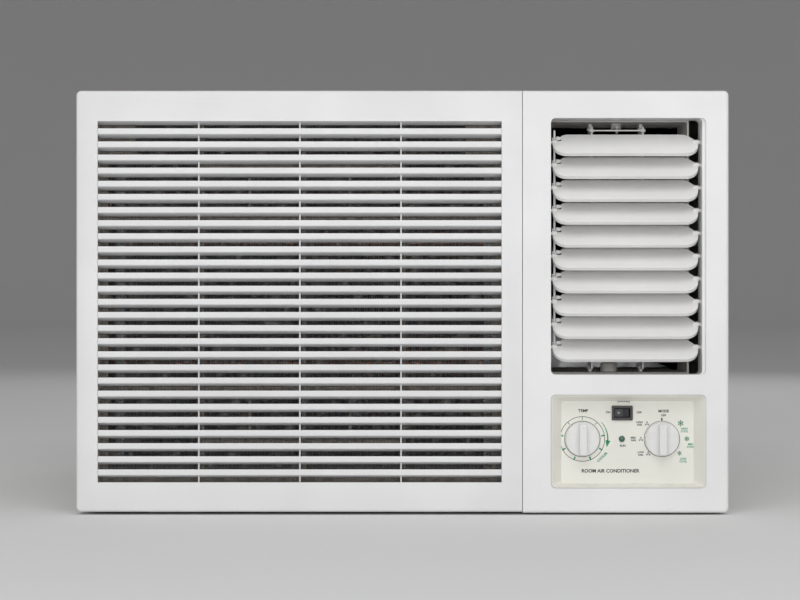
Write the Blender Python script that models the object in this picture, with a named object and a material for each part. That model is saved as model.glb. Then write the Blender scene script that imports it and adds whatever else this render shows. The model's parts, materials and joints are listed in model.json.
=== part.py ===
"""Window air conditioner of the sleeve-and-chassis kind.

The steel sleeve stays in the wall. Everything else is one chassis that slides out of its front: the moulded
front, the intake grille with its air filter, the louvers and vanes of the air outlet, the controls, both coils,
the blower and propeller on one motor shaft, and the sealed refrigeration circuit.

All sizes below are in millimetres. X is to the right, Y is to the back and Z is up. Meshes are made in metres.
"""

import math

import bmesh
import bpy
from mathutils import Vector

MM = 0.001

# Outside of the unit
WIDTH = 660.0
DEPTH = 700.0
TOP = 429.0
FRONT = -DEPTH / 2
REAR = DEPTH / 2
SIDE = WIDTH / 2

# Sleeve
SLEEVE_HALF = 322.0
SLEEVE_FRONT = -292.5
SLEEVE_TOP = 420.0
SHEET = 1.5
GAP = 0.3
VENT_COLUMNS = 2
VENT_ROWS = 8
VENT_FRONT = 20.0
VENT_BOTTOM = 110.0
VENT_LENGTH = 110.0
VENT_HEIGHT = 8.0
VENT_COLUMN_PITCH = 130.0
VENT_ROW_PITCH = 28.0

# Base pan
PAN_HALF = 318.0
PAN_FRONT = -288.0
PAN_REAR = 344.0
PAN_BOTTOM = 2.0
PAN_TOP = 28.0
PAN_SHEET = 1.2

# Moulded front
SEAM = 121.3
SHELL_WALL = 2.5
FACE = 2.8
SHELL_REAR = -293.0
FRAME_BOTTOM = 2.0
FLANGE_FRONT = -296.0
CORNER = 5.0
GLAND_CENTRE = (-312.0, 22.0)

# Intake grille
GRILLE_BOTTOM = 3.0
GRILLE_REAR = -301.5
SLAT_DEPTH = 12.5
SLAT_DROP = 3.2
SLOT_COUNT = 28
SLOT_PITCH = 13.26
SLOT_HEIGHT = 7.3
SLOT_TOP = 398.2
GRILLE_LEFT = -308.2
GRILLE_RIGHT = 100.3
GRILLE_COLUMNS = 4
GRILLE_RIB = 1.5
HINGE_Y = -302.0
HINGE_Z = 423.5
HINGE_PIN = 2.0
HINGE_PIN_LENGTH = 8.5
HINGE_HOLE = 2.4
HINGE_ARM_HALF = 2.2
HINGE_ARMS = (-313.3, 104.3)
HINGE_LUGS = (-320.3, 107.3)
HINGE_LUG_WIDTH = 4.0

# Air filter
FILTER_FRONT = -334.0
FILTER_REAR = -330.0
FILTER_LEFT = -310.0
FILTER_RIGHT = 102.0
FILTER_BOTTOM = 6.5
FILTER_TOP = 416.0
FILTER_COLUMNS = ((-299.4, -205.5), (-201.5, -102.5), (-98.5, -0.5), (3.5, 91.5))
FILTER_BAND_LOW = 126.8
FILTER_BAND_HIGH = 299.6
FILTER_PANES_LOW = 45.0
FILTER_PANES_HIGH = 402.0
FILTER_BAR = 2.0
FILTER_GRIP = 53.6
FILTER_TABS = ((-258.2, -205.0), (-1.6, 51.0))

# Air outlet
OUTLET_LEFT = 150.1
OUTLET_RIGHT = 306.9
OUTLET_BOTTOM = 141.7
OUTLET_TOP = 401.4
LOUVER_COUNT = 10
LOUVER_PITCH = 23.19
LOUVER_TOP_PIVOT = 377.9
LOUVER_Y = -331.0
LOUVER_LEFT = 153.0
LOUVER_RIGHT = 301.0
LOUVER_AHEAD = 18.0
LOUVER_BEHIND = 11.2
LOUVER_TILT = 45.0
LOUVER_PIN = 1.8
LOUVER_CRANK = (7.0, 4.2)
LINK_LEFT = 154.3
LINK_RIGHT = 156.3
VANE_X = (195.2, 247.9)
VANE_Y = -285.0
VANE_ARM = 19.5
VANE_LINK_Z = 392.0
CRANK_X = 221.6
CRANK_Y = -290.0
CRANK_RADIUS = 9.75
DUCT_LEFT = 150.0
DUCT_RIGHT = 294.0
DUCT_BOTTOM = 141.0
DUCT_TOP = 402.0

# Control panel
PANEL_BOTTOM = 27.0
PANEL_TOP = 121.4
TRAY_FLOOR = -336.5
KNOB_Z = 76.0
THERMOSTAT_X = 182.9
SELECTOR_X = 263.8
KNOB_RADIUS = 17.3
LENS_X = 223.1
ROCKER_X = 223.45
ROCKER_Z = 102.45
ROCKER_PIVOT_Y = -334.0
ROCKER_REST = 10.0

# Air circuits
SHAFT_X = -80.0
SHAFT_Z = 215.0
SHAFT_RADIUS = 6.0
BULKHEAD_Y = -132.0
BLOWER_BLADES = 15
BLOWER_RADIUS = 104.0
PROPELLER_BLADES = 4
PROPELLER_RADIUS = 174.0
ORIFICE_RADIUS = 180.0
COMPRESSOR_X = 215.0
COMPRESSOR_Y = 20.0

# Finishes: colour, roughness, metallic
FINISHES = {
    "front_plastic": ((0.80, 0.80, 0.79), 0.42, 0.0),
    "louver_plastic": ((0.72, 0.71, 0.70), 0.45, 0.0),
    "panel_plastic": ((0.74, 0.74, 0.66), 0.5, 0.0),
    "knob_plastic": ((0.82, 0.82, 0.80), 0.35, 0.0),
    "black_plastic": ((0.03, 0.03, 0.035), 0.4, 0.0),
    "lens_plastic": ((0.05, 0.18, 0.08), 0.2, 0.0),
    "filter_plastic": ((0.42, 0.38, 0.32), 0.6, 0.0),
    "filter_mesh": ((0.05, 0.05, 0.055), 0.8, 0.0),
    "duct_plastic": ((0.22, 0.21, 0.20), 0.6, 0.0),
    "foam": ((0.85, 0.85, 0.83), 0.9, 0.0),
    "sleeve_paint": ((0.62, 0.61, 0.57), 0.5, 0.2),
    "galvanised_steel": ((0.55, 0.56, 0.57), 0.42, 1.0),
    "fin_aluminium": ((0.72, 0.73, 0.74), 0.35, 1.0),
    "copper": ((0.72, 0.38, 0.22), 0.3, 1.0),
    "compressor_paint": ((0.02, 0.02, 0.022), 0.35, 0.3),
    "rubber": ((0.03, 0.03, 0.03), 0.8, 0.0),
}


def clear_scene():
    for obj in list(bpy.data.objects):
        bpy.data.objects.remove(obj, do_unlink=True)


def make_material(name):
    colour, roughness, metallic = FINISHES[name]
    material = bpy.data.materials.new(name)
    material.use_nodes = True
    shader = material.node_tree.nodes["Principled BSDF"]
    shader.inputs["Base Color"].default_value = (*colour, 1.0)
    shader.inputs["Roughness"].default_value = roughness
    shader.inputs["Metallic"].default_value = metallic
    material.diffuse_color = (*colour, 1.0)
    return material


def material_named(name):
    return bpy.data.materials.get(name) or make_material(name)


# ---------------------------------------------------------------- outlines


def circle(u, v, radius, sides, start=0.0):
    step = 2 * math.pi / sides
    return [
        (u + radius * math.cos(start + i * step), v + radius * math.sin(start + i * step))
        for i in range(sides)
    ]


def arc(u, v, radius, first, last, steps):
    """Points from angle first to last, in degrees."""
    turns = [math.radians(first + (last - first) * i / steps) for i in range(steps + 1)]
    return [(u + radius * math.cos(a), v + radius * math.sin(a)) for a in turns]


def rectangle(u0, u1, v0, v1):
    return [(u1, v1), (u0, v1), (u0, v0), (u1, v0)]


def rounded(u0, u1, v0, v1, radii, inset=0.0, steps=3):
    """A rounded rectangle drawn in by inset.

    The radii go from the high-u, high-v corner round by the low-u side.
    """
    if not isinstance(radii, tuple):
        radii = (radii,) * 4
    corners = ((u1, v1, 0), (u0, v1, 90), (u0, v0, 180), (u1, v0, 270))
    outline = []
    for (u, v, start), radius in zip(corners, radii):
        r = max(radius - inset, 0.2)
        toward_u = -1 if u == u1 else 1
        toward_v = -1 if v == v1 else 1
        centre_u = u + toward_u * (inset + r)
        centre_v = v + toward_v * (inset + r)
        outline += arc(centre_u, centre_v, r, start, start + 90, steps)
    return outline


def ribbon(path, thickness):
    """The outline of a strip of even thickness whose middle follows path, with mitred corners."""
    points = [Vector(p) for p in path]
    left = []
    right = []
    for i, here in enumerate(points):
        before = (here - points[i - 1]).normalized() if i else (points[1] - here).normalized()
        after = (points[i + 1] - here).normalized() if i + 1 < len(points) else before
        normal = Vector((-before.y - after.y, before.x + after.x)).normalized()
        reach = thickness / 2 / normal.dot(Vector((-after.y, after.x)))
        left.append(tuple(here + normal * reach))
        right.append(tuple(here - normal * reach))
    return left + right[::-1]


# ---------------------------------------------------------------- solids


def in_space(axis, outline, along):
    """Outline points are (y, z) for axis X, (x, z) for axis Y and (x, y) for axis Z."""
    if axis == "X":
        return [(along, u, v) for u, v in outline]
    if axis == "Y":
        return [(u, along, v) for u, v in outline]
    return [(u, v, along) for u, v in outline]


def loft(bm, rings, closed=False):
    """Skins rings of equal length. It caps both ends, or joins the last ring to the first when closed."""
    rows = [[bm.verts.new(p) for p in ring] for ring in rings]
    pairs = list(zip(rows, rows[1:]))
    if closed:
        pairs.append((rows[-1], rows[0]))
    for low, high in pairs:
        for i in range(len(low)):
            j = (i + 1) % len(low)
            bm.faces.new((low[i], low[j], high[j], high[i]))
    if not closed:
        bm.faces.new(rows[0][::-1])
        bm.faces.new(rows[-1])
    return bm


def stack(axis, steps, bm=None):
    """A loft through (outline, position along axis) steps."""
    return loft(bm or bmesh.new(), [in_space(axis, outline, along) for outline, along in steps])


def tube(axis, steps):
    """A ring-shaped loft: the steps go up the outside and come back down the inside."""
    return loft(bmesh.new(), [in_space(axis, outline, along) for outline, along in steps], closed=True)


def prism(axis, outline, low, high, bm=None):
    return stack(axis, [(outline, low), (outline, high)], bm)


def box(x0, x1, y0, y1, z0, z1, bm=None):
    return prism("Z", rectangle(x0, x1, y0, y1), z0, z1, bm)


def turned(axis, centre, profile, sides, bore=0.0):
    """A turned solid about axis; the profile is (position, radius) steps, and bore is a hole right through."""
    u, v = centre
    steps = [(circle(u, v, radius, sides), along) for along, radius in profile]
    if not bore:
        return stack(axis, steps)
    hole = circle(u, v, bore, sides)
    steps += [(hole, profile[-1][0]), (hole, profile[0][0])]
    return tube(axis, steps)


def smooth_path(points, radius, steps=3):
    """A polyline with each corner turned into an arc-like curve that starts radius away from it."""
    route = [Vector(p) for p in points]
    path = [route[0]]
    for before, corner, after in zip(route, route[1:], route[2:]):
        start = corner + (before - corner).normalized() * radius
        end = corner + (after - corner).normalized() * radius
        for i in range(steps + 1):
            t = i / steps
            path.append(start * (1 - t) ** 2 + corner * 2 * t * (1 - t) + end * t**2)
    path.append(route[-1])
    return path


def pipe(path, radius, sides, bm=None):
    """A round bar along path; each ring is turned from the one before by the least angle."""
    rings = []
    across = None
    for i, here in enumerate(path):
        ahead = path[min(i + 1, len(path) - 1)]
        behind = path[max(i - 1, 0)]
        along = (ahead - behind).normalized()
        if across is None:
            across = along.orthogonal().normalized()
        across = (across - along * across.dot(along)).normalized()
        other = along.cross(across)
        turns = [2 * math.pi * k / sides for k in range(sides)]
        rings.append([here + (across * math.cos(a) + other * math.sin(a)) * radius for a in turns])
    return loft(bm or bmesh.new(), rings)


# ---------------------------------------------------------------- objects


def mesh_from(bm, name, pivot):
    bmesh.ops.recalc_face_normals(bm, faces=bm.faces[:])
    bmesh.ops.translate(bm, verts=bm.verts[:], vec=-Vector(pivot))
    bmesh.ops.scale(bm, verts=bm.verts[:], vec=(MM, MM, MM))
    mesh = bpy.data.meshes.new(name)
    bm.to_mesh(mesh)
    bm.free()
    mesh.polygons.foreach_set("use_smooth", [True] * len(mesh.polygons))
    mesh.set_sharp_from_angle(angle=math.radians(35))
    return mesh


def place(name, mesh, pivot):
    obj = bpy.data.objects.new(name, mesh)
    obj.location = Vector(pivot) * MM
    bpy.context.scene.collection.objects.link(obj)
    return obj


def add_boolean(obj, bm, operation, number, pivot):
    helper = place(f"{obj.name}_{operation.lower()}_{number}", mesh_from(bm, "helper", pivot), pivot)
    helper.hide_render = True
    helper.display_type = "WIRE"
    modifier = obj.modifiers.new(f"{operation.title()} {number}", "BOOLEAN")
    modifier.operation = operation
    modifier.solver = "EXACT"
    modifier.object = helper


def make(name, finish, bm, joined=(), cuts=(), pivot=(0.0, 0.0, 0.0)):
    """One node: a solid, the solids fused to it and those cut from it, with its origin at pivot."""
    obj = place(name, mesh_from(bm, name, pivot), pivot)
    obj.data.materials.append(material_named(finish))
    for number, other in enumerate(joined):
        add_boolean(obj, other, "UNION", number, pivot)
    for number, other in enumerate(cuts):
        add_boolean(obj, other, "DIFFERENCE", number, pivot)
    return obj


# ---------------------------------------------------------------- sleeve and chassis


def vents(columns, rows, x0, x1):
    """Slots through the sleeve's side, from x0 to x1."""
    bm = bmesh.new()
    for column in range(columns):
        for row in range(rows):
            y = VENT_FRONT + column * VENT_COLUMN_PITCH
            z = VENT_BOTTOM + row * VENT_ROW_PITCH
            box(x0, x1, y, y + VENT_LENGTH, z, z + VENT_HEIGHT, bm)
    return bm


def make_cabinet_sleeve():
    outer = rounded(-SLEEVE_HALF, SLEEVE_HALF, 0.0, SLEEVE_TOP, 4.0, steps=2)
    inner = rounded(-SLEEVE_HALF, SLEEVE_HALF, 0.0, SLEEVE_TOP, 4.0, inset=SHEET, steps=2)
    body = tube("Y", [(outer, SLEEVE_FRONT), (outer, REAR), (inner, REAR), (inner, SLEEVE_FRONT)])
    right_vents = vents(VENT_COLUMNS, VENT_ROWS, SLEEVE_HALF - 6, SLEEVE_HALF + 6)
    left_vents = vents(VENT_COLUMNS, VENT_ROWS, -SLEEVE_HALF - 6, -SLEEVE_HALF + 6)
    make("cabinet_sleeve", "sleeve_paint", body, cuts=[right_vents, left_vents])


def make_base_pan():
    def outline(inset):
        return rectangle(-PAN_HALF + inset, PAN_HALF - inset, PAN_FRONT + inset, PAN_REAR - inset)

    steps = [
        (outline(0.0), PAN_BOTTOM),
        (outline(0.0), PAN_TOP),
        (outline(PAN_SHEET), PAN_TOP),
        (outline(PAN_SHEET), PAN_BOTTOM + PAN_SHEET),
    ]
    drain_hole = prism("Y", circle(-200, 12, 6.4, 12), PAN_REAR - 4, PAN_REAR + 2)
    make("base_pan", "galvanised_steel", stack("Z", steps), cuts=[drain_hole])


def front_shell(x0, x1, bottom, rear, radii, inner_face):
    """A tray-shaped moulding, open at the back, with a rounded front edge."""
    def outline(inset):
        return rounded(x0, x1, bottom, TOP, radii, inset)

    steps = [
        (outline(3.2), FRONT),
        (outline(1.0), FRONT + 0.9),
        (outline(0.0), FRONT + 3.2),
        (outline(0.0), rear),
        (outline(SHELL_WALL), rear),
        (outline(SHELL_WALL), inner_face),
    ]
    return stack("Y", steps)


def hinge_arm(x, outward):
    """An arm from the flange with a pin that points outward, for the grille to hang on.

    Behind the pin it stays low, because the grille's top edge swings down there when it opens.
    """
    left = x - HINGE_ARM_HALF
    right = x + HINGE_ARM_HALF
    arm = box(left, right, HINGE_Y - 2.6, FLANGE_FRONT + 1.0, HINGE_Z - 8.0, HINGE_Z - 0.8)
    head = box(left, right, HINGE_Y - 2.5, HINGE_Y + 1.9, HINGE_Z - 4.0, HINGE_Z + 2.0)
    tip = x + outward * HINGE_PIN_LENGTH
    pin = prism("X", circle(HINGE_Y, HINGE_Z, HINGE_PIN, 10), min(x, tip), max(x, tip))
    return [arm, head, pin]


def make_front_frame():
    body = front_shell(
        SEAM + 0.3, SIDE, FRAME_BOTTOM, SHELL_REAR, (CORNER, 0.8, 0.8, CORNER), FRONT + FACE
    )
    flange = box(-326, SEAM + 2.5, FLANGE_FRONT, SHELL_REAR, 4, 427)
    window = box(-316, 112, FLANGE_FRONT - 8, SHELL_REAR + 2, 26, 412)
    openings = []
    for bottom, top in ((OUTLET_BOTTOM, OUTLET_TOP), (PANEL_BOTTOM, PANEL_TOP)):
        outline = rounded(OUTLET_LEFT, OUTLET_RIGHT, bottom, top, CORNER)
        openings.append(prism("Y", outline, FRONT - 2, FRONT + 5))
    gland_hole = prism("X", circle(*GLAND_CENTRE, 6.6, 12), SIDE - 6, SIDE + 4)
    left_arm, right_arm = HINGE_ARMS
    joined = [flange, *hinge_arm(left_arm, -1), *hinge_arm(right_arm, 1)]
    make("front_frame", "front_plastic", body, joined=joined, cuts=[window, *openings, gland_hole])


def make_cord_gland():
    """The rubber bush that the power cord comes out through."""
    profile = [(323.5, 9.0), (327.1, 9.0), (327.1, 6.3), (329.9, 6.0)]
    make("power_cord_gland", "rubber", turned("X", GLAND_CENTRE, profile, 12, bore=4.2))


# ---------------------------------------------------------------- intake grille and filter


def grille_slots():
    """Every slot of the grille. Each slopes down to the back, as the slats between them do."""
    bm = bmesh.new()
    width = (GRILLE_RIGHT - GRILLE_LEFT - (GRILLE_COLUMNS - 1) * GRILLE_RIB) / GRILLE_COLUMNS
    slope = SLAT_DROP / SLAT_DEPTH
    for row in range(SLOT_COUNT):
        top = SLOT_TOP - row * SLOT_PITCH
        outline = [
            (FRONT - 1, top + slope),
            (FRONT + SLAT_DEPTH + 2, top - SLAT_DROP - 2 * slope),
            (FRONT + SLAT_DEPTH + 2, top - SLOT_HEIGHT - SLAT_DROP - 2 * slope),
            (FRONT - 1, top - SLOT_HEIGHT + slope),
        ]
        for column in range(GRILLE_COLUMNS):
            left = GRILLE_LEFT + column * (width + GRILLE_RIB)
            prism("X", outline, left, left + width, bm)
    return bm


def make_intake_grille():
    left = -SIDE
    right = SEAM - 0.3
    body = front_shell(
        left, right, GRILLE_BOTTOM, GRILLE_REAR, (0.8, CORNER, CORNER, 0.8), FRONT + SLAT_DEPTH
    )
    edge = SHELL_WALL + 0.1
    outer = rectangle(left + edge, right - edge, GRILLE_BOTTOM + edge, TOP - edge)
    block = rectangle(GRILLE_LEFT - 4, GRILLE_RIGHT + 4, 25.0, SLOT_TOP + 4)
    pocket = tube(
        "Y",
        [
            (outer, FRONT + FACE),
            (outer, FRONT + SLAT_DEPTH + 1),
            (block, FRONT + SLAT_DEPTH + 1),
            (block, FRONT + FACE),
        ],
    )
    guides = box(left + 2, FILTER_LEFT + 4, FILTER_REAR + 0.5, FILTER_REAR + 2.5, 20, 405)
    box(FILTER_RIGHT - 4, right - 2, FILTER_REAR + 0.5, FILTER_REAR + 2.5, 20, 405, guides)
    lugs = bmesh.new()
    pin_holes = bmesh.new()
    for x in HINGE_LUGS:
        box(x, x + HINGE_LUG_WIDTH, HINGE_Y - 5, HINGE_Y + 0.5, HINGE_Z - 5, TOP - 1, lugs)
        prism("X", circle(HINGE_Y, HINGE_Z, HINGE_HOLE, 10), x - 2, x + HINGE_LUG_WIDTH + 2, pin_holes)
    filter_slot = box(FILTER_LEFT - 1, FILTER_RIGHT + 1, FILTER_FRONT - 1.6, FILTER_REAR + 0.5, 1, 7)
    make(
        "intake_grille",
        "front_plastic",
        body,
        joined=[guides, lugs],
        cuts=[pocket, grille_slots(), pin_holes, filter_slot],
        pivot=(SEAM / 2 - SIDE / 2, HINGE_Y, HINGE_Z),
    )


def filter_windows():
    """Openings of the filter frame: a wide middle band, and smaller panes round the grips above and below it."""
    bm = bmesh.new()
    y0 = FILTER_FRONT - 2
    y1 = FILTER_REAR + 2

    def window(x0, x1, z0, z1):
        prism("Y", rectangle(x0, x1, z0, z1), y0, y1, bm)

    low = FILTER_BAND_LOW
    high = FILTER_BAND_HIGH
    bar = FILTER_BAR
    grip = FILTER_GRIP
    for x0, x1 in FILTER_COLUMNS:
        window(x0, x1, low + bar, high - bar)
    shoulder = 362.0
    for (x0, x1), step, outer in ((FILTER_COLUMNS[0], -272.0, -1), (FILTER_COLUMNS[3], 64.0, 1)):
        window(x0, x1, FILTER_PANES_LOW, low - bar)
        far, near = (x0, x1) if outer < 0 else (x1, x0)
        pane = [(far, high + bar), (near, high + bar), (near, FILTER_PANES_HIGH)]
        pane += [(step, FILTER_PANES_HIGH), (step, shoulder), (far, shoulder)]
        prism("Y", pane, y0, y1, bm)
    for (x0, x1), split in zip(FILTER_COLUMNS[1:3], (-155.7, -53.0)):
        window(x0, x1, high + grip + bar, FILTER_PANES_HIGH)
        window(x0, x1, FILTER_PANES_LOW, low - grip - bar)
        for z0 in (high + bar, low - grip + bar):
            window(x0, split - 1.5, z0, z0 + grip - 2 * bar)
            window(split + 1.5, x1, z0, z0 + grip - 2 * bar)
    return bm


def make_air_filter():
    pivot = (FILTER_LEFT / 2 + FILTER_RIGHT / 2, FILTER_FRONT, FILTER_BOTTOM)
    plate = box(FILTER_LEFT, FILTER_RIGHT, FILTER_FRONT, FILTER_REAR, FILTER_BOTTOM, FILTER_TOP)
    tabs = bmesh.new()
    for x0, x1 in FILTER_TABS:
        box(x0, x1, FILTER_FRONT + 0.2, FILTER_REAR - 0.2, 1.3, FILTER_BOTTOM + 1, tabs)
    windows = filter_windows()
    make("air_filter_frame", "filter_plastic", plate, joined=[tabs], cuts=[windows], pivot=pivot)
    net = box(
        FILTER_LEFT + 2, FILTER_RIGHT - 2, FILTER_FRONT - 0.9, FILTER_FRONT - GAP, 10, FILTER_TOP - 3
    )
    make("air_filter_net", "filter_mesh", net, pivot=pivot)


# ---------------------------------------------------------------- air outlet


def louver_pivot_z(number):
    return LOUVER_TOP_PIVOT - number * LOUVER_PITCH


def make_louver_frame():
    outer = rectangle(146.0, 308.0, 137.5, 405.5)
    inner = rectangle(OUTLET_LEFT + 0.1, 303.6, OUTLET_BOTTOM + 0.2, OUTLET_TOP - 0.2)
    front = FRONT + FACE + GAP
    body = tube("Y", [(outer, front), (outer, -316.5), (inner, -316.5), (inner, front)])
    notches = bmesh.new()
    for number in range(LOUVER_COUNT):
        z = louver_pivot_z(number)
        round_end = arc(LOUVER_Y, z, LOUVER_PIN + GAP, -90, 90, 4)
        mouth = [(front - 2, z + LOUVER_PIN + GAP), (front - 2, z - LOUVER_PIN - GAP)]
        prism("X", round_end + mouth, 144.0, 310.0, notches)
    make("louver_frame", "front_plastic", body, cuts=[notches])


def louver_outline():
    """The louver seen square on: across its width, and along its chord from the pivot.

    The ends are rounded, and the left end is notched at the back, where the link bar passes.
    """
    notch = LINK_RIGHT + 1.2
    round_end = 9.0
    outline = arc(LOUVER_RIGHT - round_end, LOUVER_BEHIND - round_end, round_end, 0, 90, 2)
    outline += [(notch + 4.0, LOUVER_BEHIND), (notch, LOUVER_BEHIND - 4.0), (notch, 0.0), (LOUVER_LEFT, 0.0)]
    for edge, inward, start in ((LOUVER_LEFT, 13.0, 180), (LOUVER_RIGHT, -13.0, 270)):
        for u, v in arc(0, 0, 1, start, start + 90, 3):
            outline.append((edge + inward + 13.0 * u, 15.0 - LOUVER_AHEAD + 15.0 * v))
    return outline


def louver_plate(z):
    """The louver's plate, tilted so that its front edge is its lowest."""
    tilt = math.radians(LOUVER_TILT)
    rings = []
    for height in (-1.0, 1.0):
        ring = []
        for x, chord in louver_outline():
            y = LOUVER_Y + chord * math.cos(tilt) - height * math.sin(tilt)
            ring.append((x, y, z + chord * math.sin(tilt) + height * math.cos(tilt)))
        rings.append(ring)
    return loft(bmesh.new(), rings)


def make_louver(number):
    z = louver_pivot_z(number)
    crank_y = LOUVER_Y + LOUVER_CRANK[0]
    crank_z = z + LOUVER_CRANK[1]
    pins = prism("X", circle(LOUVER_Y, z, LOUVER_PIN, 8), 146.8, LOUVER_LEFT + 4.2)
    prism("X", circle(LOUVER_Y, z, LOUVER_PIN, 8), LOUVER_RIGHT - 4.2, 307.2, pins)
    lug = box(LINK_RIGHT + 1.2, 166.0, crank_y - 2.5, crank_y + 2.0, crank_z - 2.2, crank_z + 2.2)
    crank_pin = prism("X", circle(crank_y, crank_z, 1.2, 8), LINK_LEFT - 1.6, LINK_RIGHT + 2.4)
    make(
        f"louver_{number + 1:02d}",
        "louver_plastic",
        louver_plate(z),
        joined=[pins, lug, crank_pin],
        pivot=(LOUVER_LEFT, LOUVER_Y, z),
    )


def make_louver_link():
    """A flat bar with a snap notch for each louver's crank pin, open to the back."""
    y = LOUVER_Y + LOUVER_CRANK[0]
    half = 2.0
    lowest = louver_pivot_z(LOUVER_COUNT - 1) + LOUVER_CRANK[1]
    highest = LOUVER_TOP_PIVOT + LOUVER_CRANK[1]
    outline = [(y - half, highest + 8.4), (y - half, lowest - 6), (y + half, lowest - 6)]
    for number in reversed(range(LOUVER_COUNT)):
        z = louver_pivot_z(number) + LOUVER_CRANK[1]
        outline.append((y + half, z - 1.2))
        outline += [(y, z - 1.5), (y - 1.3, z - 0.8), (y - 1.3, z + 0.8), (y, z + 1.5)]
        outline.append((y + half, z + 1.2))
    outline.append((y + half, highest + 8.4))
    make(
        "louver_link",
        "louver_plastic",
        prism("X", outline, LINK_LEFT, LINK_RIGHT),
        pivot=(LINK_LEFT, y, highest),
    )


def make_air_outlet_duct():
    outer = rectangle(DUCT_LEFT, DUCT_RIGHT, DUCT_BOTTOM, DUCT_TOP)
    inner = rectangle(DUCT_LEFT + 2, DUCT_RIGHT - 2, DUCT_BOTTOM + 2, DUCT_TOP - 2)
    body = tube("Y", [(outer, -316.0), (outer, -236.0), (inner, -236.0), (inner, -316.0)])
    holes = bmesh.new()
    for x in VANE_X:
        for low in (DUCT_BOTTOM, DUCT_TOP - 2):
            prism("Z", circle(x, VANE_Y, 2.4, 8), low - 2, low + 4, holes)
    prism("Z", circle(CRANK_X, CRANK_Y, 3.6, 8), DUCT_TOP - 4, DUCT_TOP + 2, holes)
    make("air_outlet_duct", "duct_plastic", body, cuts=[holes])


def make_vane(name, x):
    plate = box(x - 0.8, x + 0.8, VANE_Y - 22, VANE_Y + 23, DUCT_BOTTOM + 5, DUCT_TOP - 6)
    pins = prism("Z", circle(x, VANE_Y, 2.0, 8), DUCT_BOTTOM + 0.3, DUCT_BOTTOM + 9)
    prism("Z", circle(x, VANE_Y, 2.0, 8), DUCT_TOP - 10, DUCT_TOP - 0.3, pins)
    notch = box(x - 4, x + 4, VANE_Y - 24, VANE_Y - 15, VANE_LINK_Z - 2.5, VANE_LINK_Z + 2.5)
    clip_pin = prism("Z", circle(x, VANE_Y - VANE_ARM, 1.2, 8), VANE_LINK_Z - 4, VANE_LINK_Z + 3.5)
    obj = make(name, "louver_plastic", plate, joined=[pins], cuts=[notch], pivot=(x, VANE_Y, DUCT_BOTTOM))
    add_boolean(obj, clip_pin, "UNION", 9, (x, VANE_Y, DUCT_BOTTOM))


def make_vane_link():
    y = VANE_Y - VANE_ARM
    z0 = VANE_LINK_Z - 1.5
    z1 = VANE_LINK_Z + 1.5
    bar = box(VANE_X[0] - 4, VANE_X[1] + 4, y - 3, y + 3, z0, z1)
    tab = box(CRANK_X - 5.5, CRANK_X + 5.5, y - 2, CRANK_Y - 1, z0, z1)
    holes = bmesh.new()
    for x in VANE_X:
        prism("Z", circle(x, y, 1.6, 8), z0 - 2, z1 + 2, holes)
    crank_pin_y = CRANK_Y - CRANK_RADIUS
    box(CRANK_X - 2.1, CRANK_X + 2.1, crank_pin_y - 2.4, crank_pin_y + 6.0, z0 - 2, z1 + 2, holes)
    make("vane_link", "louver_plastic", bar, joined=[tab], cuts=[holes], pivot=(VANE_X[0], y, VANE_LINK_Z))


def make_swing_drive():
    disc = turned("Z", (CRANK_X, CRANK_Y), [(394.4, 12.5), (397.0, 12.5)], 16)
    spindle = prism("Z", circle(CRANK_X, CRANK_Y, 3.0, 8), 396.0, 403.0)
    pin = prism("Z", circle(CRANK_X, CRANK_Y - CRANK_RADIUS, 1.2, 8), 389.6, 395.4)
    pivot = (CRANK_X, CRANK_Y, 394.4)
    make("swing_crank", "black_plastic", disc, joined=[spindle, pin], pivot=pivot)
    motor = turned("Z", (CRANK_X, CRANK_Y), [(402.4, 22.0), (416.0, 22.0)], 16)
    socket = prism("Z", circle(CRANK_X, CRANK_Y, 3.5, 8), 400.0, 406.0)
    make("swing_motor", "galvanised_steel", motor, cuts=[socket])


# ---------------------------------------------------------------- controls


def make_control_tray():
    def rim(inset):
        return rounded(OUTLET_LEFT + 0.4, OUTLET_RIGHT - 0.3, PANEL_BOTTOM + 0.4, PANEL_TOP - 0.4, 4.6, inset)

    def floor(grow):
        return rounded(161.5 - grow, 296.0 + grow, 31.0 - grow, 114.5 + grow, 3.0 + grow)

    steps = [
        (floor(0.0), TRAY_FLOOR),
        (rim(1.2), FRONT + 0.5),
        (rim(0.0), FRONT + 0.9),
        (rim(0.0), FRONT + 3.5),
        (floor(1.8), TRAY_FLOOR + 2.4),
    ]
    holes = prism("Y", circle(THERMOSTAT_X, KNOB_Z, 3.6, 10), TRAY_FLOOR - 3, TRAY_FLOOR + 5)
    prism("Y", circle(SELECTOR_X, KNOB_Z, 3.6, 10), TRAY_FLOOR - 3, TRAY_FLOOR + 5, holes)
    prism("Y", circle(LENS_X, KNOB_Z, 3.4, 12), TRAY_FLOOR - 3, TRAY_FLOOR + 5, holes)
    prism("Y", about_rocker(9.6, 6.4), TRAY_FLOOR - 3, TRAY_FLOOR + 5, holes)
    make("control_panel_tray", "panel_plastic", stack("Y", steps), cuts=[holes])
    lens = turned("Y", (LENS_X, KNOB_Z), [(-338.6, 1.6), (-338.0, 2.7), (-337.0, 3.05), (-328.0, 3.05)], 12)
    make("run_indicator_lens", "lens_plastic", lens)


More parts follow.
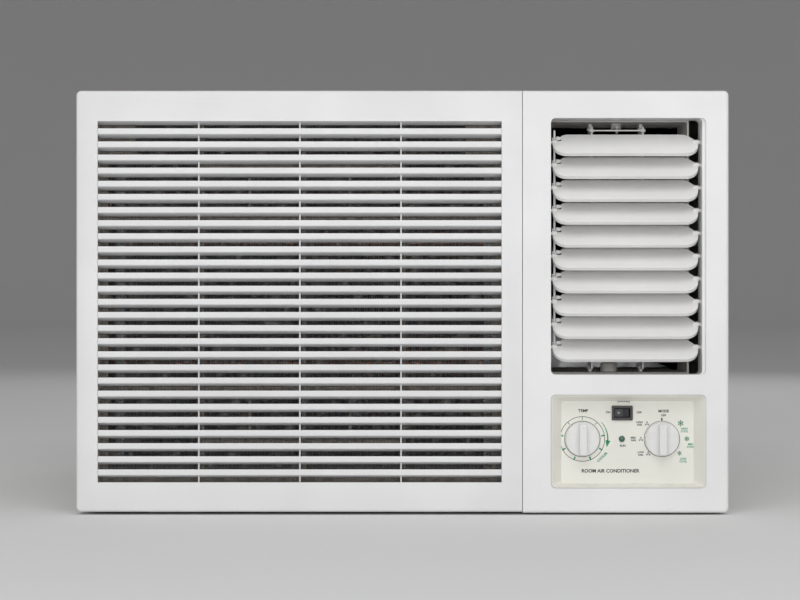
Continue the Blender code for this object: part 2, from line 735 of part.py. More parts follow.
def make_knob(name, x):
    disc_steps = [(-342.4, KNOB_RADIUS - 1.2), (-341.6, KNOB_RADIUS), (TRAY_FLOOR - GAP, KNOB_RADIUS)]
    disc = turned("Y", (x, KNOB_Z), disc_steps, 28)
    grip = stack(
        "Y",
        [
            (rounded(x - 3.1, x + 3.1, KNOB_Z - 14.0, KNOB_Z + 14.0, 1.2, steps=1), -349.4),
            (rounded(x - 3.75, x + 3.75, KNOB_Z - 15.2, KNOB_Z + 15.2, 1.5, steps=1), -342.0),
        ],
    )
    spindle = prism("Y", circle(x, KNOB_Z, 3.0, 10), -338.0, -322.0)
    make(name, "knob_plastic", disc, joined=[grip, spindle], pivot=(x, TRAY_FLOOR, KNOB_Z))


def make_switch_bodies():
    bore = prism("Y", circle(THERMOSTAT_X, KNOB_Z, 3.4, 10), -335.0, -321.0)
    body = box(THERMOSTAT_X - 20, THERMOSTAT_X + 20, -333.6, -305.0, KNOB_Z - 18, KNOB_Z + 18)
    make("thermostat_body", "galvanised_steel", body, cuts=[bore])
    bore = prism("Y", circle(SELECTOR_X, KNOB_Z, 3.4, 10), -335.0, -321.0)
    body = turned("Y", (SELECTOR_X, KNOB_Z), [(-333.6, 18.0), (-308.0, 18.0)], 16)
    make("selector_switch_body", "black_plastic", body, cuts=[bore])


def about_rocker(half_width, half_height):
    return rectangle(
        ROCKER_X - half_width, ROCKER_X + half_width, ROCKER_Z - half_height, ROCKER_Z + half_height
    )


def make_rocker_switch():
    bezel = prism("Y", about_rocker(10.65, 7.45), -338.0, -336.8)
    body = prism("Y", about_rocker(9.2, 6.0), -337.5, -318.0)
    well = prism("Y", about_rocker(7.9, 4.7), -340.0, -325.0)
    make("rocker_switch_housing", "black_plastic", bezel, joined=[body], cuts=[well])
    rest = math.radians(-ROCKER_REST)
    profile = ((-7.2, -3.0), (0.0, -1.7), (7.2, -3.0), (6.4, 3.0), (0.0, 5.0), (-6.4, 3.0))
    outline = []
    for x, y in profile:
        turned_x = x * math.cos(rest) - y * math.sin(rest)
        turned_y = x * math.sin(rest) + y * math.cos(rest)
        outline.append((ROCKER_X + turned_x, ROCKER_PIVOT_Y + turned_y))
    paddle = prism("Z", outline, ROCKER_Z - 4.3, ROCKER_Z + 4.3)
    make("swing_rocker", "black_plastic", paddle, pivot=(ROCKER_X, ROCKER_PIVOT_Y, ROCKER_Z))


def make_control_box():
    body = prism("Y", rectangle(140, 312, 30, 126), -333.4, -248.0)
    inside = prism("Y", rectangle(141.2, 310.8, 31.2, 124.8), -335.0, -249.2)
    make("control_box", "galvanised_steel", body, cuts=[inside])
    capacitor = turned("X", (-273.0, 56.0), [(165.0, 19.0), (167.0, 20.0), (243.0, 20.0), (245.0, 19.0)], 14)
    make("run_capacitor", "galvanised_steel", capacitor)


# ---------------------------------------------------------------- coils


def fin_pack(name, x0, x1, y0, y1, z0, z1, count):
    """One folded fin ribbon: upright fins joined in turn at the top and the bottom, open to the air along Y."""
    pitch = (x1 - x0) / (count - 1)
    path = []
    for i in range(count):
        x = x0 + i * pitch
        ends = (z0, z1) if i % 2 == 0 else (z1, z0)
        path += [(x, ends[0]), (x, ends[1])]
    make(name, "fin_aluminium", prism("Y", ribbon(path, 0.8), y0, y1))


def end_bends(name, x, outward, y, y0, y1, z0, z1, first, pitch, count):
    """A coil's end sheet with its return bends brazed on; each bend joins two tubes one above the other."""
    sheet = box(min(x, x + outward * 1.2), max(x, x + outward * 1.2), y0, y1, z0, z1)
    radius = 12.5
    bends = bmesh.new()
    for i in range(count):
        z = first + i * pitch
        start = x + outward * 0.4
        turn = x + outward * 5.0
        path = [Vector((start, y, z - radius))]
        for u, v in arc(0, 0, radius, -90, 90, 4):
            path.append(Vector((turn + outward * u, y, z + v)))
        path.append(Vector((start, y, z + radius)))
        pipe(path, 4.5, 6, bends)
    make(name, "copper", sheet, joined=[bends])


def make_evaporator():
    fin_pack("evaporator_fins", -288.0, 83.0, -284.0, -246.0, 48.0, 392.0, 38)
    end_bends("evaporator_left_bends", -289.4, -1, -265.0, -285.0, -245.0, 46.5, 394.0, 85.0, 75.0, 4)
    end_bends("evaporator_right_bends", 84.4, 1, -265.0, -285.0, -245.0, 46.5, 394.0, 110.0, 75.0, 4)
    steps = [
        (rectangle(-305, 112, -291, -238), 30.0),
        (rectangle(-305, 112, -291, -238), 45.5),
        (rectangle(-303.5, 110.5, -289.5, -239.5), 45.5),
        (rectangle(-303.5, 110.5, -289.5, -239.5), 31.5),
    ]
    make("evaporator_drain_pan", "foam", stack("Z", steps))


def make_condenser():
    fin_pack("condenser_fins", -290.0, 290.0, 290.0, 330.0, 36.0, 402.0, 42)
    end_bends("condenser_left_bends", -291.4, -1, 310.0, 289.0, 331.0, 34.0, 404.0, 85.0, 90.0, 4)
    end_bends("condenser_right_bends", 291.4, 1, 310.0, 289.0, 331.0, 34.0, 404.0, 85.0, 90.0, 4)


# ---------------------------------------------------------------- air movers


def scroll_outline():
    """The blower's chamber: a spiral that opens towards the outlet on the right."""
    outline = []
    for i in range(13):
        turn = math.radians(-10 - 260 * i / 12)
        radius = 117 + 46 * i / 12
        outline.append((SHAFT_X + radius * math.cos(turn), SHAFT_Z + radius * math.sin(turn)))
    outline += [(200.0, 379.0), (200.0, 236.0), (66.0, 214.0)]
    return outline


def make_blower_scroll():
    block = box(-300, 300, -232, -140, 46.5, 404)
    chamber = prism("Y", scroll_outline(), -222.0, -136.0)
    inlet = prism("Y", circle(SHAFT_X, SHAFT_Z, 82.0, 24), -236.0, -218.0)
    outlet = box(152, 292, -236, -136, 143, 400)
    make("blower_scroll", "foam", block, cuts=[chamber, inlet, outlet])


def make_bulkhead():
    sheet = box(-317, 317, BULKHEAD_Y, BULKHEAD_Y + 1.2, 30, 415)
    shaft_hole = prism("Y", circle(SHAFT_X, SHAFT_Z, 16.0, 12), BULKHEAD_Y - 3, BULKHEAD_Y + 4)
    notch = box(92, 136, BULKHEAD_Y - 3, BULKHEAD_Y + 4, 26, 50)
    make("bulkhead", "galvanised_steel", sheet, cuts=[shaft_hole, notch])


def make_fan_motor():
    profile = [(-118.0, 20.0), (-110.0, 22.0), (-108.0, 60.0), (-102.0, 64.0)]
    profile += [(-34.0, 64.0), (-28.0, 60.0), (-26.0, 22.0), (-18.0, 20.0)]
    motor = turned("Y", (SHAFT_X, SHAFT_Z), profile, 20, bore=6.8)
    make("fan_motor", "compressor_paint", motor)
    cradle = [(-170, 4.2), (-142, 4.2), (-132, 150)]
    cradle += arc(SHAFT_X, SHAFT_Z, 66.4, 225, 315, 6)
    cradle += [(-28, 150), (-18, 4.2), (10, 4.2)]
    make("motor_bracket", "galvanised_steel", prism("Y", ribbon(cradle, 1.6), -92.0, -44.0))


def make_shaft():
    shaft = turned("Y", (SHAFT_X, SHAFT_Z), [(-222.0, SHAFT_RADIUS), (238.0, SHAFT_RADIUS)], 12)
    make("motor_shaft", "galvanised_steel", shaft, pivot=(SHAFT_X, -222.0, SHAFT_Z))


def make_blower_wheel():
    centre = (SHAFT_X, SHAFT_Z)
    profile = [(-172.0, 16.0), (-160.0, 16.0), (-158.0, BLOWER_RADIUS), (-155.0, BLOWER_RADIUS)]
    plate = turned("Y", centre, profile, 24, bore=SHAFT_RADIUS + 0.4)
    blades = bmesh.new()
    for i in range(BLOWER_BLADES):
        around = 2 * math.pi * i / BLOWER_BLADES
        cross = []
        for radius, swing in ((84.0, 0.0), (93.0, 0.04), (102.0, 0.13)):
            turn = around + swing
            cross.append((SHAFT_X + radius * math.cos(turn), SHAFT_Z + radius * math.sin(turn)))
        prism("Y", ribbon(cross, 1.4), -213.0, -156.5, blades)
    rim_outer = circle(SHAFT_X, SHAFT_Z, BLOWER_RADIUS, 24)
    rim_inner = circle(SHAFT_X, SHAFT_Z, BLOWER_RADIUS - 5.0, 24)
    rim = tube("Y", [(rim_outer, -216.0), (rim_outer, -211.0), (rim_inner, -211.0), (rim_inner, -216.0)])
    make("blower_wheel", "black_plastic", plate, joined=[blades, rim], pivot=(SHAFT_X, -216.0, SHAFT_Z))


def propeller_blade(around, bm):
    """A twisted blade from hub to ring: four corners at each of three radii."""
    rings = []
    for radius, half, pitch in ((20.0, 12.0, 42.0), (95.0, 34.0, 30.0), (166.0, 44.0, 20.0)):
        tilt = math.radians(pitch)
        ring = []
        for side, face in ((-1, -1), (1, -1), (1, 1), (-1, 1)):
            along = side * half * math.cos(tilt) - face * math.sin(tilt)
            depth = side * half * math.sin(tilt) * 0.8 + face * math.cos(tilt)
            x = radius * math.cos(around) - along * math.sin(around)
            z = radius * math.sin(around) + along * math.cos(around)
            ring.append((SHAFT_X + x, 214.0 + depth * 0.8, SHAFT_Z + z))
        rings.append(ring)
    return loft(bm, rings)


def make_propeller():
    centre = (SHAFT_X, SHAFT_Z)
    profile = [(200.0, 24.0), (202.0, 26.0), (228.0, 26.0), (230.0, 24.0)]
    hub = turned("Y", centre, profile, 14, bore=SHAFT_RADIUS + 0.4)
    ring_outer = circle(SHAFT_X, SHAFT_Z, PROPELLER_RADIUS, 28)
    ring_inner = circle(SHAFT_X, SHAFT_Z, PROPELLER_RADIUS - 6.0, 28)
    ring = tube("Y", [(ring_outer, 212.0), (ring_outer, 230.0), (ring_inner, 230.0), (ring_inner, 212.0)])
    blades = bmesh.new()
    for i in range(PROPELLER_BLADES):
        propeller_blade(2 * math.pi * i / PROPELLER_BLADES + math.radians(20), blades)
    pivot = (SHAFT_X, 200.0, SHAFT_Z)
    make("propeller_fan", "black_plastic", hub, joined=[blades, ring], pivot=pivot)


def make_fan_shroud():
    sheet = box(-296, 296, 222.0, 223.2, 31, 412)
    orifice = prism("Y", circle(SHAFT_X, SHAFT_Z, ORIFICE_RADIUS, 36), 218.0, 228.0)
    make("fan_shroud", "galvanised_steel", sheet, cuts=[orifice])


# ---------------------------------------------------------------- refrigeration circuit


def make_compressor():
    centre = (COMPRESSOR_X, COMPRESSOR_Y)
    profile = [(12.0, 40.0), (24.0, 58.0), (34.0, 62.0), (262.0, 62.0), (278.0, 54.0), (288.0, 32.0)]
    shell = turned("Z", centre, profile, 20)
    feet = bmesh.new()
    for i in range(3):
        around = math.radians(90 + 120 * i)
        x = COMPRESSOR_X + 60 * math.cos(around)
        y = COMPRESSOR_Y + 60 * math.sin(around)
        box(x - 22, x + 22, y - 22, y + 22, 14.0, 17.5, feet)
    make("compressor_shell", "compressor_paint", shell, joined=[feet])
    grommets = (("left", 210), ("right", 330), ("rear", 90))
    for name, degrees in grommets:
        x = COMPRESSOR_X + 70 * math.cos(math.radians(degrees))
        y = COMPRESSOR_Y + 70 * math.sin(math.radians(degrees))
        grommet = turned("Z", (x, y), [(3.5, 11.0), (13.7, 9.0)], 10)
        make(f"compressor_grommet_{name}", "rubber", grommet)
    cover = box(COMPRESSOR_X - 24, COMPRESSOR_X + 24, COMPRESSOR_Y - 84, COMPRESSOR_Y - 62.4, 150, 205)
    make("compressor_terminal_cover", "black_plastic", cover)


def make_accumulator_and_drier():
    profile = [(62.0, 12.0), (70.0, 24.0), (222.0, 24.0), (230.0, 12.0)]
    make("accumulator", "copper", turned("Z", (118.0, 70.0), profile, 14))
    profile = [(60.0, 4.0), (66.0, 10.0), (134.0, 10.0), (140.0, 4.0)]
    make("filter_drier", "copper", turned("Z", (298.0, 240.0), profile, 10))


def make_pipes():
    suction = [
        (86.2, -252, 130), (122, -252, 130), (122, -252, 38), (122, -112, 38),
        (122, -112, 262), (118, 70, 262), (118, 70, 230.6),
    ]
    make("suction_pipe", "copper", pipe(smooth_path(suction, 14.0), 5.0, 6))
    discharge = [
        (225, 20, 288.6), (225, 20, 330), (303, 20, 330), (303, 296, 330), (293.2, 296, 330),
    ]
    make("discharge_pipe", "copper", pipe(smooth_path(discharge, 4.8), 4.0, 6))
    liquid = [
        (298, 240, 59.4), (298, 240, 20), (298, -106, 20), (108, -106, 20), (108, -106, 38),
        (108, -235.2, 38), (108, -235.2, 96), (108, -250, 96), (86.2, -250, 96),
    ]
    make("liquid_line", "copper", pipe(smooth_path(liquid, 6.0, steps=2), 2.0, 5))


def build():
    clear_scene()
    make_cabinet_sleeve()
    make_base_pan()
    make_front_frame()
    make_cord_gland()
    make_intake_grille()
    make_air_filter()
    make_louver_frame()
    for number in range(LOUVER_COUNT):
        make_louver(number)
    make_louver_link()
    make_air_outlet_duct()
    make_vane("vane_left", VANE_X[0])
    make_vane("vane_right", VANE_X[1])
    make_vane_link()
    make_swing_drive()
    make_control_tray()
    make_knob("thermostat_knob", THERMOSTAT_X)
    make_knob("selector_knob", SELECTOR_X)
    make_switch_bodies()
    make_rocker_switch()
    make_control_box()
    make_evaporator()
    make_condenser()
    make_blower_scroll()
    make_bulkhead()
    make_fan_motor()
    make_shaft()
    make_blower_wheel()
    make_propeller()
    make_fan_shroud()
    make_compressor()
    make_accumulator_and_drier()
    make_pipes()


build()
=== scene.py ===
"""The looks of the window air conditioner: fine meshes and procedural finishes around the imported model.

Each sub-assembly is a class that builds its pieces and dresses them. Sizes are in millimetres, as on a drawing.
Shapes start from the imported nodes' boxes, and finer sizes are stated where they are used. X is to the right, Y to
the back and Z up.
"""
import json
import logging
import math
from collections.abc import Callable, Sequence
from dataclasses import dataclass
from enum import Enum
from typing import Union

import bpy
from mathutils import Matrix, Vector


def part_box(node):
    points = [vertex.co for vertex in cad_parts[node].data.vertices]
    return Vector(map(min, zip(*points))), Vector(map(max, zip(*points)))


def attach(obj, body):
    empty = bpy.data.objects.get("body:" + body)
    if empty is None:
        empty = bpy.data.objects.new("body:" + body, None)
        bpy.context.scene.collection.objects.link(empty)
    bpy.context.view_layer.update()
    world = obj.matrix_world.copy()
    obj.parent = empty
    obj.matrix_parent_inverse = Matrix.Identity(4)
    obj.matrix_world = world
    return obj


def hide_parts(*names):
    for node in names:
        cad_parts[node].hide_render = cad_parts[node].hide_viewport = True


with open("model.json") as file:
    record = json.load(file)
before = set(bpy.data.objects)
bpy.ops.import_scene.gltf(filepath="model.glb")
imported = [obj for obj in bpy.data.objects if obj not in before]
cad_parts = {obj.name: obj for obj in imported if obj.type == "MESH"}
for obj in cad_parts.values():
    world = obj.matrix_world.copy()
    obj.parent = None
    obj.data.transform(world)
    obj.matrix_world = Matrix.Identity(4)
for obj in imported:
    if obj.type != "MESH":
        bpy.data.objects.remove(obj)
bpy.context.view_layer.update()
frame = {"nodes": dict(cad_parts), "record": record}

MM = 0.001
LOG = logging.getLogger("air_conditioner")
ALIGNED = 0.9  # the least share of a direction that lies along an axis, for it to count as running that way
NEAR = 0.1  # how far off a place, in millimetres, still counts as being at it
INK_THICK = 0.06

Point = tuple[float, float, float]
Flat = tuple[float, float]
Colour = tuple[float, float, float]


class Axis(Enum):
    """The direction that a shape is drawn out along."""

    X = 0
    Y = 1
    Z = 2


class Body(str, Enum):
    """The bodies that several pieces ride on."""

    CABINET = "cabinet"
    CHASSIS = "chassis"
    GRILLE = "intake_grille"
    FILTER = "air_filter"
    ROTOR = "fan_rotor"


# ------------------------------------------------------------------ shader arithmetic


class Value:
    """One node output that Python arithmetic can be done on; each operation adds its Math node."""

    def __init__(self, recipe: "Recipe", socket: bpy.types.NodeSocket) -> None:
        """Keeps the socket and the recipe that new nodes go into."""
        self.recipe = recipe
        self.socket = socket

    def maths(self, operation: str, *operands: "Number") -> "Value":
        """Adds one Math node.

        Args:
            operation: The Math node's operation.
            operands: Its inputs, in order.

        Returns:
            The node's result.
        """
        return self.recipe.node("ShaderNodeMath", {"operation": operation}, dict(enumerate(operands)))

    def __add__(self, other: "Number") -> "Value":
        """self + other."""
        return self.maths("ADD", self, other)

    __radd__ = __add__

    def __sub__(self, other: "Number") -> "Value":
        """self - other."""
        return self.maths("SUBTRACT", self, other)

    def __rsub__(self, other: "Number") -> "Value":
        """other - self."""
        return self.maths("SUBTRACT", other, self)

    def __mul__(self, other: "Number") -> "Value":
        """self * other."""
        return self.maths("MULTIPLY", self, other)

    __rmul__ = __mul__

    def spread(self, low: float, high: float, start: float = 0.0, end: float = 1.0) -> "Value":
        """Stretches the range low to high over start to end, clamped.

        Args:
            low: The value that becomes start.
            high: The value that becomes end.
            start: The result at low.
            end: The result at high.

        Returns:
            The stretched value.
        """
        inputs = {"Value": self, "From Min": low, "From Max": high, "To Min": start, "To Max": end}
        return self.recipe.node("ShaderNodeMapRange", {"clamp": True}, inputs)


Number = Union[float, Value]


class Recipe:
    """One material's node tree."""

    def __init__(self, name: str) -> None:
        """Starts a material that holds one Principled shader."""
        self.material = bpy.data.materials.new(name)
        self.material.use_nodes = True
        self.tree = self.material.node_tree
        self.shader = self.tree.nodes["Principled BSDF"]

    def feed(self, target: bpy.types.NodeSocket, given: object) -> None:
        """Links a Value to a socket, or sets a plain number or colour on it.

        Args:
            target: The input socket.
            given: A Value, a number, or a colour or vector of three or four numbers.
        """
        if isinstance(given, Value):
            self.tree.links.new(given.socket, target)
        elif isinstance(given, tuple) and len(given) == 3 and target.type == "RGBA":
            target.default_value = (*given, 1.0)
        else:
            target.default_value = given

    def node(self, kind: str, settings: dict, inputs: dict, output: Union[int, str] = 0) -> Value:
        """Adds any node.

        Args:
            kind: The node's type.
            settings: Its properties, set first; "stops" are a ramp's (place, colour) pairs.
            inputs: What its sockets get, by name or number.
            output: Which output to return.

        Returns:
            The chosen output.
        """
        made = self.tree.nodes.new(kind)
        for key, setting in settings.items():
            if key == "stops":
                for number, (place, colour) in enumerate(setting):
                    stops = made.color_ramp.elements
                    stop = stops[number] if number < 2 else stops.new(place)
                    stop.position = place
                    stop.color = (*colour, 1.0)
            else:
                setattr(made, key, setting)
        for key, given in inputs.items():
            self.feed(made.inputs[key], given)
        return Value(self, made.outputs[output])

    def place(self, turn: Point = (0.0, 0.0, 0.0), stretch: Point = (1.0, 1.0, 1.0)) -> Value:
        """Object coordinates, turned and stretched.

        Args:
            turn: Rotation about X, Y and Z, in radians.
            stretch: Scale along X, Y and Z.

        Returns:
            The coordinate vector.
        """
        here = self.node("ShaderNodeTexCoord", {}, {}, "Object")
        inputs = {"Vector": here, "Rotation": turn, "Scale": stretch}
        return self.node("ShaderNodeMapping", {"vector_type": "POINT"}, inputs)

    def noise(self, size: float, detail: float = 3.0, where: Union[Value, None] = None) -> Value:
        """Cloudy noise.

        Args:
            size: The size of its largest blots, in millimetres.
            detail: How many finer layers it holds.
            where: Coordinates, or plain object coordinates when left out.

        Returns:
            Noise from 0 to 1.
        """
        inputs = {"Vector": where or self.place(), "Scale": 1.0 / (size * MM), "Detail": detail}
        return self.node("ShaderNodeTexNoise", {"noise_dimensions": "3D"}, inputs, "Fac")

    def cells(self, size: float, feature: str = "F1", where: Union[Value, None] = None) -> Value:
        """Distance in a field of cells.

        Args:
            size: The cell size, in millimetres.
            feature: The Voronoi feature.
            where: Coordinates, or plain object coordinates when left out.

        Returns:
            The distance.
        """
        inputs = {"Vector": where or self.place(), "Scale": 1.0 / (size * MM)}
        return self.node("ShaderNodeTexVoronoi", {"feature": feature}, inputs, "Distance")

    def mix(self, factor: Number, first: object, second: object) -> Value:
        """Mixes two colours.

        Args:
            factor: 0 for the first, 1 for the second.
            first: A colour or a Value.
            second: A colour or a Value.

        Returns:
            The mixed colour.
        """
        return self.node("ShaderNodeMix", {"data_type": "RGBA"}, {0: factor, 6: first, 7: second}, 2)

    def upness(self) -> Value:
        """How far a surface faces up, from -1 to 1."""
        normal = self.node("ShaderNodeNewGeometry", {}, {}, "Normal")
        return self.node("ShaderNodeSeparateXYZ", {}, {0: normal}, "Z")

    def bump(self, height: Value, depth: float, strength: float = 1.0) -> Value:
        """A bump normal.

        Args:
            height: The height, from 0 to 1.
            depth: The real height of a full step, in millimetres.
            strength: How much of it shows.

        Returns:
            The bumped normal.
        """
        inputs = {"Height": height, "Distance": depth * MM, "Strength": strength}
        return self.node("ShaderNodeBump", {}, inputs, "Normal")

    def finish(self, **inputs: object) -> bpy.types.Material:
        """Feeds the shader; underscores in names stand for spaces.

        Args:
            inputs: What the Principled shader's sockets get.

        Returns:
            The finished material.
        """
        for name, given in inputs.items():
            self.feed(self.shader.inputs[name.replace("_", " ")], given)
        return self.material


# ------------------------------------------------------------------ finishes


@dataclass(frozen=True)
class Finish:
    """A surface finish. Each kind says in recipe how its shader is made; it is made once and shared."""

    name: str
    colour: Colour
    roughness: float
    slot: str

    def recipe(self, recipe: Recipe) -> bpy.types.Material:
        """Makes the shader."""
        raise NotImplementedError

    def material(self) -> bpy.types.Material:
        """The finish's material, made on first use."""
        return bpy.data.materials.get(self.name) or self.recipe(Recipe(self.name))

    def tinted(self, share: float) -> Colour:
        """The base colour, lighter or darker by a share."""
        return tuple(min(1.0, max(0.0, channel * share)) for channel in self.colour)


@dataclass(frozen=True)
class MouldedPlastic(Finish):
    """Injection-moulded plastic: a fine spark-eroded grain, faint flow clouds, and dust where it faces up."""

    grain: float = 0.35
    relief: float = 0.02
    dust: float = 0.25
    coat: float = 0.0

    def recipe(self, recipe: Recipe) -> bpy.types.Material:
        """Makes the shader."""
        clouds = recipe.noise(90.0, 2.0)
        grain = recipe.noise(self.grain, 4.0)
        wear = recipe.noise(14.0, 6.0)
        base = recipe.mix(clouds.spread(0.35, 0.65), self.tinted(0.965), self.tinted(1.02))
        base = recipe.mix(grain.spread(0.3, 0.7) * 0.12, base, self.tinted(0.86))
        specks = recipe.cells(7.0).spread(0.028, 0.04, 1.0, 0.0) * recipe.noise(30.0).spread(0.55, 0.62)
        base = recipe.mix(specks * 0.35, base, self.tinted(0.45))
        settled = recipe.upness().spread(0.55, 1.0) * wear.spread(0.35, 0.75) * self.dust
        base = recipe.mix(settled, base, (0.42, 0.39, 0.34))
        rough = wear.spread(0.3, 0.7, self.roughness - 0.05, self.roughness + 0.06) + settled * 0.4
        scuffs = recipe.noise(3.0, 2.0, recipe.place(turn=(0.2, 0.5, 0.3), stretch=(1.0, 6.0, 0.3)))
        height = grain * 0.8 + scuffs.spread(0.62, 0.7) * 0.2
        return recipe.finish(
            Base_Color=base,
            Roughness=rough,
            Normal=recipe.bump(height, self.relief),
            Coat_Weight=self.coat,
            Coat_Roughness=0.18,
            IOR=1.5,
        )


@dataclass(frozen=True)
class CoatedSteel(Finish):
    """Sheet steel under powder paint: orange peel, rubbed spots, and road dust in upright streaks."""

    peel: float = 1.3

    def recipe(self, recipe: Recipe) -> bpy.types.Material:
        """Makes the shader."""
        peel = recipe.noise(self.peel, 2.0)
        clouds = recipe.noise(160.0, 3.0)
        stain = recipe.noise(38.0, 8.0, recipe.place(stretch=(1.0, 1.0, 0.35)))
        base = recipe.mix(clouds.spread(0.35, 0.65), self.tinted(0.95), self.tinted(1.03))
        base = recipe.mix(stain.spread(0.56, 0.75) * 0.35, base, self.tinted(0.72))
        chips = recipe.cells(26.0).spread(0.03, 0.045, 1.0, 0.0) * recipe.noise(60.0).spread(0.52, 0.58)
        base = recipe.mix(chips, base, (0.30, 0.27, 0.24))
        settled = recipe.upness().spread(0.6, 1.0) * recipe.noise(22.0, 7.0).spread(0.3, 0.8) * 0.4
        base = recipe.mix(settled, base, (0.38, 0.35, 0.30))
        rough = stain.spread(0.3, 0.75, self.roughness - 0.06, self.roughness + 0.14)
        height = peel - chips * 2.0
        return recipe.finish(Base_Color=base, Roughness=rough, Normal=recipe.bump(height, 0.05))


@dataclass(frozen=True)
class ZincSheet(Finish):
    """Galvanised sheet: angular zinc spangle, grey runs, and a little white bloom."""

    spangle: float = 9.0

    def recipe(self, recipe: Recipe) -> bpy.types.Material:
        """Makes the shader."""
        where = recipe.place()
        edge = recipe.cells(self.spangle, "DISTANCE_TO_EDGE", where)
        inputs = {"Vector": where, "Scale": 1 / (self.spangle * MM)}
        crystal = recipe.node("ShaderNodeTexVoronoi", {"feature": "F1"}, inputs, "Color")
        tone = recipe.node("ShaderNodeSeparateColor", {}, {0: crystal}, 0)
        bloom = recipe.noise(45.0, 7.0).spread(0.52, 0.72)
        base = recipe.mix(tone, self.tinted(0.86), self.tinted(1.12))
        base = recipe.mix(bloom * 0.35, base, (0.66, 0.66, 0.64))
        rough = tone.spread(0.0, 1.0, self.roughness - 0.08, self.roughness + 0.08) + bloom * 0.2
        height = edge.spread(0.0, 0.08) + recipe.noise(0.8) * 0.4
        metal = bloom.spread(0.0, 1.0, 1.0, 0.55)
        return recipe.finish(
            Base_Color=base, Roughness=rough, Metallic=metal, Normal=recipe.bump(height, 0.015)
        )


@dataclass(frozen=True)
class BareMetal(Finish):
    """Drawn or rolled metal: lines along one axis, oxide clouds and bright rubbed spots."""

    oxide: Colour = (0.25, 0.18, 0.14)
    oxidised: float = 0.5
    line: Point = (1.0, 12.0, 12.0)
    metal: float = 1.0

    def recipe(self, recipe: Recipe) -> bpy.types.Material:
        """Makes the shader."""
        lines = recipe.noise(6.0, 4.0, recipe.place(stretch=self.line))
        film = recipe.noise(17.0, 6.0).spread(0.4, 0.72)
        base = recipe.mix(lines.spread(0.3, 0.7), self.tinted(0.85), self.tinted(1.1))
        base = recipe.mix(film * self.oxidised, base, self.oxide)
        rough = film.spread(0.0, 1.0, self.roughness - 0.04, self.roughness + 0.25)
        return recipe.finish(
            Base_Color=base, Roughness=rough, Metallic=self.metal, Normal=recipe.bump(lines, 0.01, 0.6)
        )


@dataclass(frozen=True)
class BeadFoam(Finish):
    """Moulded bead foam: round beads pressed together, with darker joints."""

    bead: float = 3.6

    def recipe(self, recipe: Recipe) -> bpy.types.Material:
        """Makes the shader."""
        joints = recipe.cells(self.bead, "DISTANCE_TO_EDGE").spread(0.0, 0.14)
        clouds = recipe.noise(70.0, 5.0)
        base = recipe.mix(joints, self.tinted(0.78), self.colour)
        base = recipe.mix(clouds.spread(0.5, 0.75) * 0.3, base, (0.55, 0.52, 0.46))
        return recipe.finish(Base_Color=base, Roughness=self.roughness, Normal=recipe.bump(joints, 0.25))


@dataclass(frozen=True)
class Net(Finish):
    """A fine moulded net: square threads with open holes, and lint caught in patches."""

    pitch: float = 1.4

    def recipe(self, recipe: Recipe) -> bpy.types.Material:
        """Makes the shader."""
        here = recipe.place(stretch=(1000.0 / self.pitch,) * 3)
        parts = recipe.node("ShaderNodeSeparateXYZ", {}, {0: here}, "X")
        height = Value(recipe, parts.socket.node.outputs["Z"])
        across = parts.maths("PINGPONG", parts, 0.5)
        along = height.maths("PINGPONG", height, 0.5)
        thread = across.maths("MINIMUM", across, along).spread(0.10, 0.17, 1.0, 0.0)
        lint = recipe.noise(9.0, 6.0).spread(0.5, 0.7)
        base = recipe.mix(lint, self.colour, (0.20, 0.19, 0.175))
        base = recipe.mix(recipe.noise(1.1, 2.0).spread(0.62, 0.72) * 0.4, base, (0.34, 0.34, 0.33))
        cover = thread.maths("MAXIMUM", thread, lint * 0.55)
        return recipe.finish(
            Base_Color=base, Roughness=self.roughness, Alpha=cover, Normal=recipe.bump(thread, 0.15)
        )


@dataclass(frozen=True)
class Ink(Finish):
    """Screen-printed ink: slightly uneven cover on the moulded panel."""

    def recipe(self, recipe: Recipe) -> bpy.types.Material:
        """Makes the shader."""
        cover = recipe.noise(0.5, 3.0)
        base = recipe.mix(cover.spread(0.55, 0.75) * 0.25, self.colour, self.tinted(1.8))
        return recipe.finish(Base_Color=base, Roughness=self.roughness, Normal=recipe.bump(cover, 0.01))


@dataclass(frozen=True)
class Backdrop(Finish):
    """Plain pale studio paper."""

    def recipe(self, recipe: Recipe) -> bpy.types.Material:
        """Makes the shader."""
        tone = recipe.noise(700.0, 2.0)
        base = recipe.mix(tone, self.tinted(0.99), self.colour)
        return recipe.finish(Base_Color=base, Roughness=self.roughness)


WHITE = MouldedPlastic("white_moulding", (0.80, 0.80, 0.805), 0.36, "front_plastic", coat=0.12)
WHITE_FRAME = MouldedPlastic("white_frame_moulding", (0.82, 0.82, 0.82), 0.36, "front_plastic", coat=0.12)
LOUVER_WHITE = MouldedPlastic("louver_moulding", (0.84, 0.835, 0.825), 0.4, "louver_plastic", dust=0.15)
PANEL_CREAM = MouldedPlastic(
    "panel_moulding", (0.84, 0.835, 0.765), 0.46, "panel_plastic", grain=0.6, relief=0.03
)
KNOB_WHITE = MouldedPlastic("knob_moulding", (0.78, 0.78, 0.77), 0.3, "knob_plastic", coat=0.2, dust=0.1)
BLACK = MouldedPlastic("black_moulding", (0.022, 0.022, 0.025), 0.34, "black_plastic", dust=0.12)
DUCT_GREY = MouldedPlastic("duct_moulding", (0.58, 0.56, 0.53), 0.55, "duct_plastic", grain=0.8, relief=0.04)
FILTER_BEIGE = MouldedPlastic("filter_moulding", (0.50, 0.44, 0.37), 0.55, "filter_plastic", dust=0.4)
FILTER_NET = Net("filter_net", (0.025, 0.025, 0.028), 0.8, "filter_mesh")
FOAM = BeadFoam("bead_foam", (0.80, 0.80, 0.78), 0.85, "foam")
SLEEVE_PAINT = CoatedSteel("sleeve_powder_paint", (0.60, 0.59, 0.55), 0.45, "sleeve_paint")
